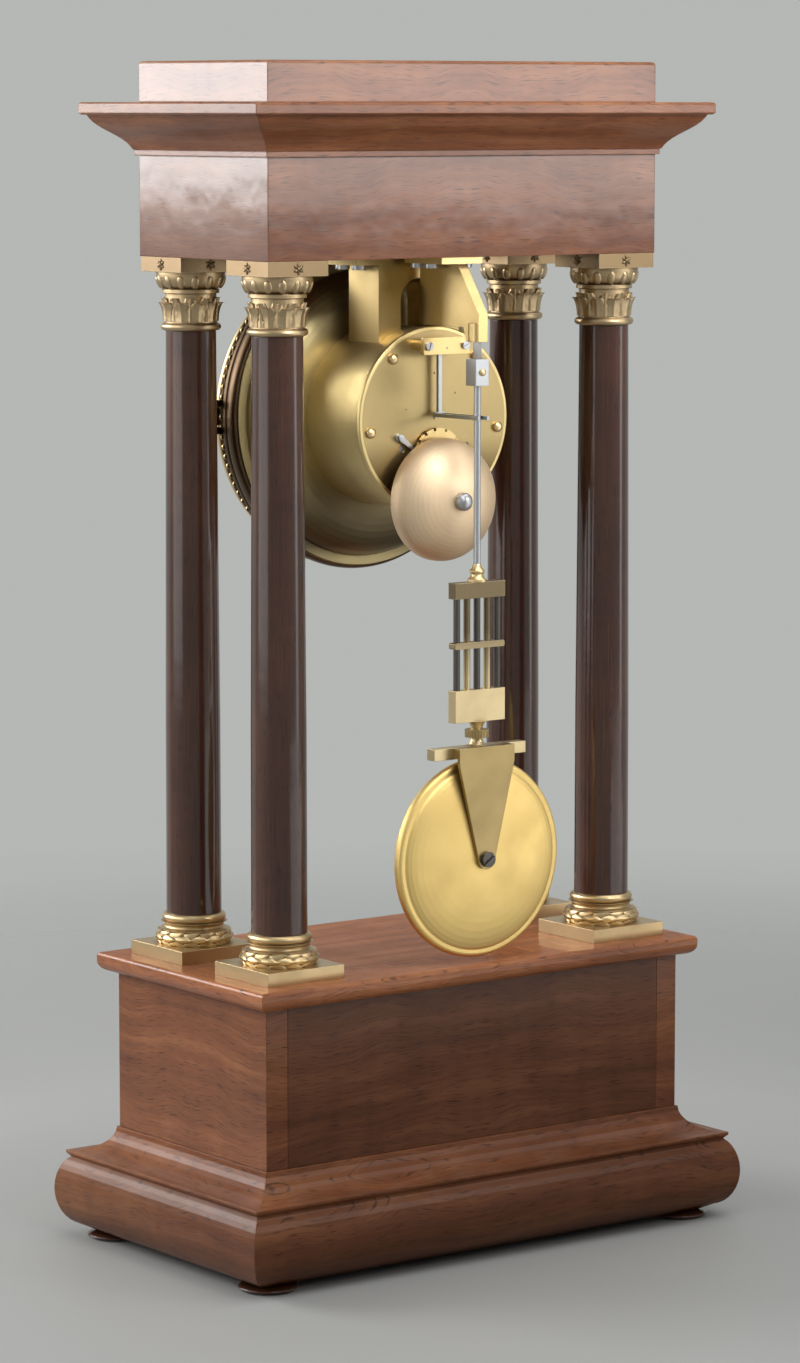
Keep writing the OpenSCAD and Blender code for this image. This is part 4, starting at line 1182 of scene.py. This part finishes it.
@dataclass
class DialGroup(Assembly):
    """Dial, hands, bezel and glazed door."""

    finishes: ClassVar[Dressing] = {
        "enamel": ("dial",),
        "blued": ("minute_hand", "hour_hand"),
        "gilt_ring": ("bezel_ring",),
        "gilt_door": ("bezel_door",),
        "glass": ("bezel_glass",),
        "bronze": ("dial_cup",),
        "steel": ("bezel_hinge_pin",),
    }
    hours: ClassVar[tuple[str, ...]] = ("XII", "I", "II", "III", "IIII", "V", "VI", "VII", "VIII", "IX", "X",
                                        "XI")
    # Head, foot and thickness of each stroke, in shares of the letter's unit
    strokes: ClassVar[dict[str, tuple[tuple[float, float, float], ...]]] = {
        "I": ((0.0, 0.0, 0.22),),
        "V": ((-0.26, 0.0, 0.22), (0.26, 0.0, 0.10)),
        "X": ((-0.28, 0.28, 0.22), (0.28, -0.28, 0.10)),
    }
    letter_widths: ClassVar[dict[str, float]] = {"I": 0.34, "V": 0.78, "X": 0.80}

    dial_front: float = -0.033
    dial_radius: float = 0.057
    dome: Spot = (0.0003, 0.0007)
    letter_unit: float = 0.0062
    numeral_inner: float = 0.0375
    numeral_outer: float = 0.0485
    serif_half: float = 0.00018
    print_sink: float = 0.00005
    print_rise: float = 0.00012
    line_rise: float = 0.0001
    line_width: float = 0.0002
    track_inner: float = 0.0508
    track_outer: float = 0.0532
    hour_mark: float = 0.0009
    minute_mark: float = 0.00032
    ferrule: Stops = ((0.00322, 0.0012), (0.00322, -0.0006), (0.0036, -0.0009), (0.0041, -0.0006),
                      (0.0043, 0.0004), (0.0036, 0.0012))
    ferrule_places: Stops = ((0.0175, -0.0125), (-0.0175, -0.0125))
    centre_extra: float = 0.0006
    bead_count: int = 96
    bead_ring: float = 0.0677
    bead_radius: float = 0.00135
    bead_y: float = -0.0402
    border_count: int = 64
    border_inner: float = 0.0579
    border_outer: float = 0.0628
    border_y: float = -0.0498
    border_sink: float = 0.0003
    border_edge: float = 0.0001
    border_rise: float = 0.0007
    border_rib: float = 0.0002
    knob: Stops = ((0.0012, -0.0010), (0.0010, 0.0018), (0.0017, 0.0030), (0.0021, 0.0044), (0.0014, 0.0058),
                   (0.0, 0.0062))
    knob_place: Spot = (-0.0655, -0.0466)

    def surface(self, radius: float) -> float:
        """Finds the domed face of the dial.

        Args:
            radius: distance from the centre.

        Returns:
            The Y of the enamel there.
        """
        half = self.dial_radius / 2
        inner, outer = self.dome
        if radius < half:
            return self.dial_front + inner * radius / half
        return self.dial_front + inner + outer * (radius - half) / half

    def on_dial(self, radius: float, clock: float, level: float) -> Vector:
        """Gives a point from a radius, an angle clockwise from twelve and a height above the enamel."""
        return on_face(radius, math.pi / 2 - clock, self.surface(radius) - level)

    def stroke(self, made: Sculpt, clock: float, ends: Spot, low: float, high: float, width: float) -> None:
        """Adds one stroke of a numeral, running from its foot to its head.

        Args:
            made: the sculpt that takes the stroke.
            clock: angle of the numeral.
            ends: place across of the foot and of the head.
            low: radius of the foot.
            high: radius of the head.
            width: width of the stroke.
        """
        steps = 4
        line = [(ends[0] + (ends[1] - ends[0]) * i / steps, low + (high - low) * i / steps)
                for i in range(steps + 1)]
        outline = [(a - width / 2, b) for a, b in line] + [(a + width / 2, b) for a, b in reversed(line)]
        made.prism(outline, lambda a, b, level: self.on_dial(math.hypot(a, b), clock + math.atan2(a, b),
                                                             level), -self.print_sink, self.print_rise)

    def numeral(self, made: Sculpt, text: str, clock: float) -> None:
        """Adds one Roman numeral, its foot to the centre of the dial.

        Args:
            made: the sculpt that takes the numeral.
            text: the letters, left to right.
            clock: angle of the numeral.
        """
        unit, low, high = self.letter_unit, self.numeral_inner, self.numeral_outer
        left = -sum(self.letter_widths[letter] for letter in text) / 2
        for letter in text:
            middle = (left + self.letter_widths[letter] / 2) * unit
            left += self.letter_widths[letter]
            for head, foot, thick in self.strokes[letter]:
                ends = middle + foot * unit, middle + head * unit
                self.stroke(made, clock, ends, low, high, thick * unit)
                serif = 2 * (thick * 0.5 + 0.11) * unit
                for radius, end in zip((low, high), ends):
                    if letter == "V" and radius == low:
                        continue
                    self.stroke(made, clock, (end, end), radius - self.serif_half, radius + self.serif_half,
                                serif)

    def ring(self, made: Sculpt, inner: float) -> None:
        """Adds a printed circle.

        Args:
            made: the sculpt that takes the circle.
            inner: inner radius.
        """
        steps, outer = 160, inner + self.line_width
        corners = ((inner, -self.print_sink), (inner, self.line_rise), (outer, self.line_rise),
                   (outer, -self.print_sink))
        made.rings([[self.on_dial(radius, FULL_TURN * i / steps, level) for i in range(steps)]
                    for radius, level in corners], loop=True)

    def build_printing(self) -> None:
        """Prints the numerals and the minute track."""
        numerals, track = Sculpt(), Sculpt()
        for index, text in enumerate(self.hours):
            self.numeral(numerals, text, math.radians(30 * index))
        numerals.piece("dial_numerals", "case", "print", "enamel", 30)
        self.ring(track, self.track_inner - self.line_width)
        self.ring(track, self.track_outer)
        for minute in range(60):
            clock, width = math.radians(6 * minute), self.minute_mark if minute % 5 else self.hour_mark
            self.stroke(track, clock, (0.0, 0.0), self.track_inner, self.track_outer, width)
        track.piece("dial_minute_track", "case", "print", "enamel", 30)

    def build_ferrules(self) -> None:
        """Lines the key holes and the middle of the dial with brass."""
        made = Sculpt()
        for x, z in self.ferrule_places:
            made.lathe(self.ferrule, along_y((x, self.surface(math.hypot(x, z)), DIAL_Z + z)), 40, loop=True)
        middle = [(r + self.centre_extra, h) for r, h in self.ferrule]
        made.lathe(middle, along_y((0.0, self.dial_front, DIAL_Z)), 44, loop=True)
        made.piece("dial_ferrules", "case", "gilt_bright", "gilt")

    def border_leaf(self, centre: float, s: float, t: float, back: bool) -> Vector:
        """Gives a point of a leaf of the door's border.

        Args:
            centre: angle of the leaf round the dial.
            s: place from root to tip.
            t: place across.
            back: on the back.

        Returns:
            The point.
        """
        half = 0.47 * (FULL_TURN / self.border_count) * math.sin(math.pi * (0.12 + 0.84 * s)) ** 0.7
        lift = self.border_rise * (1 - t * t) * math.sin(math.pi * (0.1 + 0.85 * s))
        lift += self.border_edge + self.border_rib * (1 - abs(t)) ** 5
        radius = self.border_inner + (self.border_outer - self.border_inner) * s
        return on_face(radius, centre - t * half, self.border_y + (self.border_sink if back else -lift))

    def build_bezel(self) -> None:
        """Adds the beads of the fixed ring, and the leaf border and knob of the door."""
        beads, border, knob = Sculpt(), Sculpt(), Sculpt()
        radius, bands = self.bead_radius, 8
        turns = [math.pi * k / bands for k in range(1, bands)]
        ball = [(radius * math.sin(a), -radius * math.cos(a)) for a in turns]
        ball = [(0.0, -radius), *ball, (0.0, radius)]
        for i in range(self.bead_count):
            centre = on_face(self.bead_ring, FULL_TURN * i / self.bead_count, self.bead_y)
            beads.lathe(ball, Matrix.Translation(centre), 12)
        beads.piece("bezel_beads", "case", "gilt_beads", "gilt", 80)
        for k in range(self.border_count):
            border.leaf(9, 7, partial(self.border_leaf, FULL_TURN * (k + 0.5) / self.border_count))
        border.piece("bezel_leaf_border", "door", "gilt_matt", "gilt", 60)
        to_left = Matrix.Rotation(math.radians(-90), 4, "Y")
        knob.lathe(self.knob, Matrix.Translation((*self.knob_place, DIAL_Z)) @ to_left, 24)
        knob.piece("bezel_door_knob", "door", "gilt_bright", "gilt")

    def build(self) -> None:
        """Adds the printing, the ferrules and the trim of the bezel."""
        self.build_printing()
        self.build_ferrules()
        self.build_bezel()


@dataclass
class Movement(Assembly):
    """Drum, plates, trains, bell and hanging ironwork."""

    finishes: ClassVar[Dressing] = {
        "brass": ("suspension_cock", "pallet_cock", "minute_wheel", "hour_wheel", "intermediate_wheel",
                  "third_wheel", "escape_wheel", "strike_second_wheel", "count_wheel", "pin_wheel", "fly",
                  "going_barrel", "strike_barrel", "centre_wheel", "plate_pillars"),
        "brass_aged": ("hanger",),
        "brass_turned": ("drum_case", "front_plate"),
        "brass_plate": ("back_plate",),
        "bell": ("bell",),
        "steel": ("suspension_spring", "cannon_pinion", "going_winding_arbor", "strike_winding_arbor",
                  "anchor", "crutch", "hammer", "bell_stand"),
    }

    plate_back: float = 0.025
    pillar_ring: float = 0.035
    pillar_angles: tuple[float, ...] = (50.0, 130.0, 188.0, 352.0)
    nut_size: Spot = (0.0024, 0.0022)
    cock_back: float = 0.0342
    cock_screw_z: float = DIAL_Z + 0.0323
    # Place across and turn of the slot
    cock_screws: Stops = ((-0.010, 25.0), (0.010, 70.0))
    cock_screw_size: Spot = (0.0019, 0.0013)
    detent_post: Spot = (0.0195, -0.0075)
    detent_tip: Spot = (0.0118, -0.0132)
    detent_levels: Spot = (0.0009, 0.0019)
    # Share of the way to the tip and half width there
    detent_widths: Stops = ((0.0, 0.0016), (0.35, 0.0011), (0.8, 0.0008), (1.0, 0.0005))
    post_profile: Stops = ((0.0019, 0.0), (0.0019, 0.0008), (0.0014, 0.0012), (0.0014, 0.0026), (0.0, 0.0028))

    def build(self) -> None:
        """Adds the nuts and screws of the back plate and the detent of the count wheel."""
        nuts, screws = Sculpt(), Sculpt()
        for angle in self.pillar_angles:
            seat = on_face(self.pillar_ring, math.radians(angle), self.plate_back)
            nuts.nut(*self.nut_size, along_y(seat), 24)
        nuts.piece("pillar_nuts", "case", "gilt_bright", "brass")
        for x, turn in self.cock_screws:
            screws.screw(*self.cock_screw_size, turn, along_y((x, self.cock_back, self.cock_screw_z)))
        screws.piece("pallet_cock_screws", "case", "steel", "steel")
        self.build_detent()

    def build_detent(self) -> None:
        """Adds the detent that rides above the count wheel, with its post."""
        made = Sculpt()
        post = Vector(self.detent_post)
        run = Vector(self.detent_tip) - post
        side = Vector((-run.y, run.x)).normalized()
        made.lathe(self.post_profile, along_y((post.x, self.plate_back, DIAL_Z + post.y)), 24)
        outline = [post + run * s + side * half for s, half in self.detent_widths]
        outline += [post + run * s - side * half for s, half in reversed(self.detent_widths)]
        low, high = (self.plate_back + level for level in self.detent_levels)
        made.prism(outline, lambda a, b, level: Vector((a, level, DIAL_Z + b)), low, high)
        made.piece("count_detent", "case", "steel", "steel", 30)


@dataclass
class Pendulum(Assembly):
    """Rod, gridiron and bob."""

    finishes: ClassVar[Dressing] = {
        "bob": ("bob",),
        "gridiron": ("gridiron_bars", "gridiron_brass_rods"),
        "brass_aged": ("bob_bracket", "rating_nut"),
        "steel": ("pendulum_rod",),
        "steel_dark": ("gridiron_steel_rods",),
    }

    plane: float = 0.056
    screw_back: float = 0.0637
    screw_size: Spot = (0.0034, 0.0017)
    screw_turn: float = 35.0
    shank: Stops = ((0.00155, -0.0016), (0.00155, 0.0002))
    collar_z: float = 0.2958
    collar: Stops = ((0.0015, 0.0), (0.0042, 0.0001), (0.0042, 0.0012), (0.0031, 0.0020), (0.0027, 0.0034),
                     (0.0033, 0.0042), (0.0033, 0.0050), (0.0022, 0.0062), (0.00152, 0.0080))
    tie_z: float = 0.2685
    tie_half: tuple[float, float, float] = (0.0135, 0.0023, 0.0014)
    tie_bevel: float = 0.0005
    pin_z: float = 0.3868
    pin_out: float = 0.0035
    pin_size: Spot = (0.0016, 0.0013)

    def build(self) -> None:
        """Adds the screw, collar, tie and pin that the solids leave out."""
        screw, collar, tie, pin = Sculpt(), Sculpt(), Sculpt(), Sculpt()
        seat = along_y((0.0, self.screw_back, BOB_Z))
        screw.screw(*self.screw_size, self.screw_turn, seat)
        screw.lathe(self.shank, seat, 24)
        screw.piece("bob_screw", "pendulum", "steel_dark", "steel")
        collar.lathe(self.collar, Matrix.Translation((0.0, self.plane, self.collar_z)), 32)
        collar.piece("rod_collar", "pendulum", "gilt_bright", "gilt")
        wide, deep, high = self.tie_half
        flat, upright = wide - self.tie_bevel, high - self.tie_bevel
        outline = [(-wide, -upright), (-flat, -high), (flat, -high), (wide, -upright),
                   (wide, upright), (flat, high), (-flat, high), (-wide, upright)]
        tie.prism(outline, lambda a, b, level: Vector((a, self.plane + level, self.tie_z + b)), -deep, deep)
        tie.piece("gridiron_tie", "pendulum", "gridiron", "gilt", 30)
        for side in (-1, 1):
            seat = along_y((0.0, self.plane + side * self.pin_out, self.pin_z), side > 0)
            pin.nut(*self.pin_size, seat, 20)
        pin.piece("chop_pin", "pendulum", "gilt_bright", "brass")


@dataclass(frozen=True)
class Card:
    """One soft light, with a face whose glow is 1 where it is white."""

    name: str
    place: Point
    target: Point
    size: Spot
    glow: float
    spread: float = 180.0

    def build(self) -> None:
        """Adds the light, with the same glow on its axis at any spread."""
        data = bpy.data.lights.new(self.name, "AREA")
        data.shape = "RECTANGLE"
        data.size, data.size_y = self.size
        half = math.radians(self.spread) / 2
        gain = 1.0 if self.spread >= 180 else math.tan(half) / (math.tan(half) - half)
        data.energy = self.glow * math.pi * self.size[0] * self.size[1] / gain
        data.spread = 2 * half
        made = show(self.name, data)
        made.visible_camera = False
        aim(made, self.place, Vector(self.target) - Vector(self.place))


@dataclass
class Studio:
    """Floor, soft light, backdrop colour and camera."""

    cards: ClassVar[tuple[Card, ...]] = (
        Card("key_card", (0.98, -1.30, 0.845), (0.0, 0.0, 0.62), (1.0, 0.84), 9.0),
        Card("side_card", (1.60, -0.30, 0.74), (0.0, 0.0, 0.30), (1.4, 1.4), 1.75),
        Card("back_card", (-0.56, 0.82, 0.605), (0.0, 0.05, 0.52), (0.40, 0.35), 5.5, 90.0),
        Card("rear_card", (-0.10, 0.95, 1.05), (0.0, 0.05, 0.62), (0.5, 0.5), 22.0, 40.0),
        Card("low_card", (-0.70, 1.00, 0.002), (-0.70, 1.00, 1.0), (1.1, 1.1), 1.1),
        Card("bob_card", (-1.25, 1.10, 0.25), (0.0, 0.056, 0.30), (0.9, 0.5), 4.0, 20.0),
        Card("top_soft", (-0.25, 0.35, 1.75), (0.0, 0.0, 0.2), (2.2, 1.5), 2.0),
    )

    camera_place: Point = (1.2352, 1.6632, 0.5022)
    heading: Spot = (-0.5962, -0.8028)
    pitch: float = 7.03
    lens: float = 123.98
    sensor: float = 36.0
    clip: Spot = (0.05, 60.0)
    wall: Colour = (0.462, 0.476, 0.457)
    room_low: Colour = (0.08, 0.08, 0.08)
    room_high: Colour = (0.18, 0.182, 0.185)
    floor: Colour = (0.40, 0.405, 0.395)
    floor_profile: Stops = ((0.0, -0.0002), (0.6, -0.0002), (2.0, -0.0002), (6.0, -0.0002), (6.0, -0.02))
    floor_fade: Spot = (0.32, 1.1)

    def build_camera(self) -> None:
        """Sets the camera where the photograph was taken."""
        data = bpy.data.cameras.new("camera")
        data.sensor_width, data.lens = self.sensor, self.lens
        data.clip_start, data.clip_end = self.clip
        pitch = math.radians(self.pitch)
        level = math.cos(pitch)
        made = show("camera", data)
        x, y = self.heading
        aim(made, self.camera_place, Vector((x * level, y * level, -math.sin(pitch))))
        bpy.context.scene.camera = made

    def build_world(self) -> None:
        """Fills the room with even light and shows the wall colour behind the clock."""
        world = bpy.data.worlds.new("room")
        bpy.context.scene.world = world
        world.use_nodes = True
        graph = Graph(world.node_tree)
        rise = graph.span(graph.split(graph.node("TexCoord").outputs["Generated"])[2], -0.3, 0.6)
        path = graph.node("LightPath").outputs
        shown = graph.math("MAXIMUM", path["Is Camera Ray"], path["Is Glossy Ray"])
        shown = graph.math("MAXIMUM", shown, path["Is Transmission Ray"])
        room = graph.mix(rise, self.room_low, self.room_high)
        graph.fill(world.node_tree.nodes["Background"], {"Color": graph.mix(shown, room, self.wall)})

    def build_floor(self) -> None:
        """Lays a pale floor that fades into the wall."""
        made = Sculpt()
        made.lathe(self.floor_profile, UPRIGHT, 96)
        material, graph, shader = new_material("floor_pale")
        x, y, _ = graph.split(graph.where())
        cloud = graph.span(graph.noise(graph.where(), 5.0), 0.3, 0.7)
        graph.fill(shader, {
            "Base Color": graph.mix(cloud, toned(self.floor, 0.97), self.floor), "Roughness": 0.55,
            "Alpha": graph.span(graph.length(x, y), *self.floor_fade, (1.0, 0.0)),
        })
        floor = show("floor", made.mesh("floor", material))

    def build(self) -> None:
        """Builds the whole studio."""
        self.build_camera()
        self.build_world()
        self.build_floor()
        for card in self.cards:
            card.build()
        bpy.context.scene.view_settings.view_transform = "Standard"


def main() -> None:
    """Builds and dresses the clock, then sets the studio."""
    logging.basicConfig(level=logging.INFO, format="%(message)s")
    parts = (Case(), ColumnMounts(), DialGroup(), Movement(), Pendulum())
    for part in parts:
        part.dress()
    for part in parts:
        part.build()
    Studio().build()


if __name__ == "__main__":
    main()
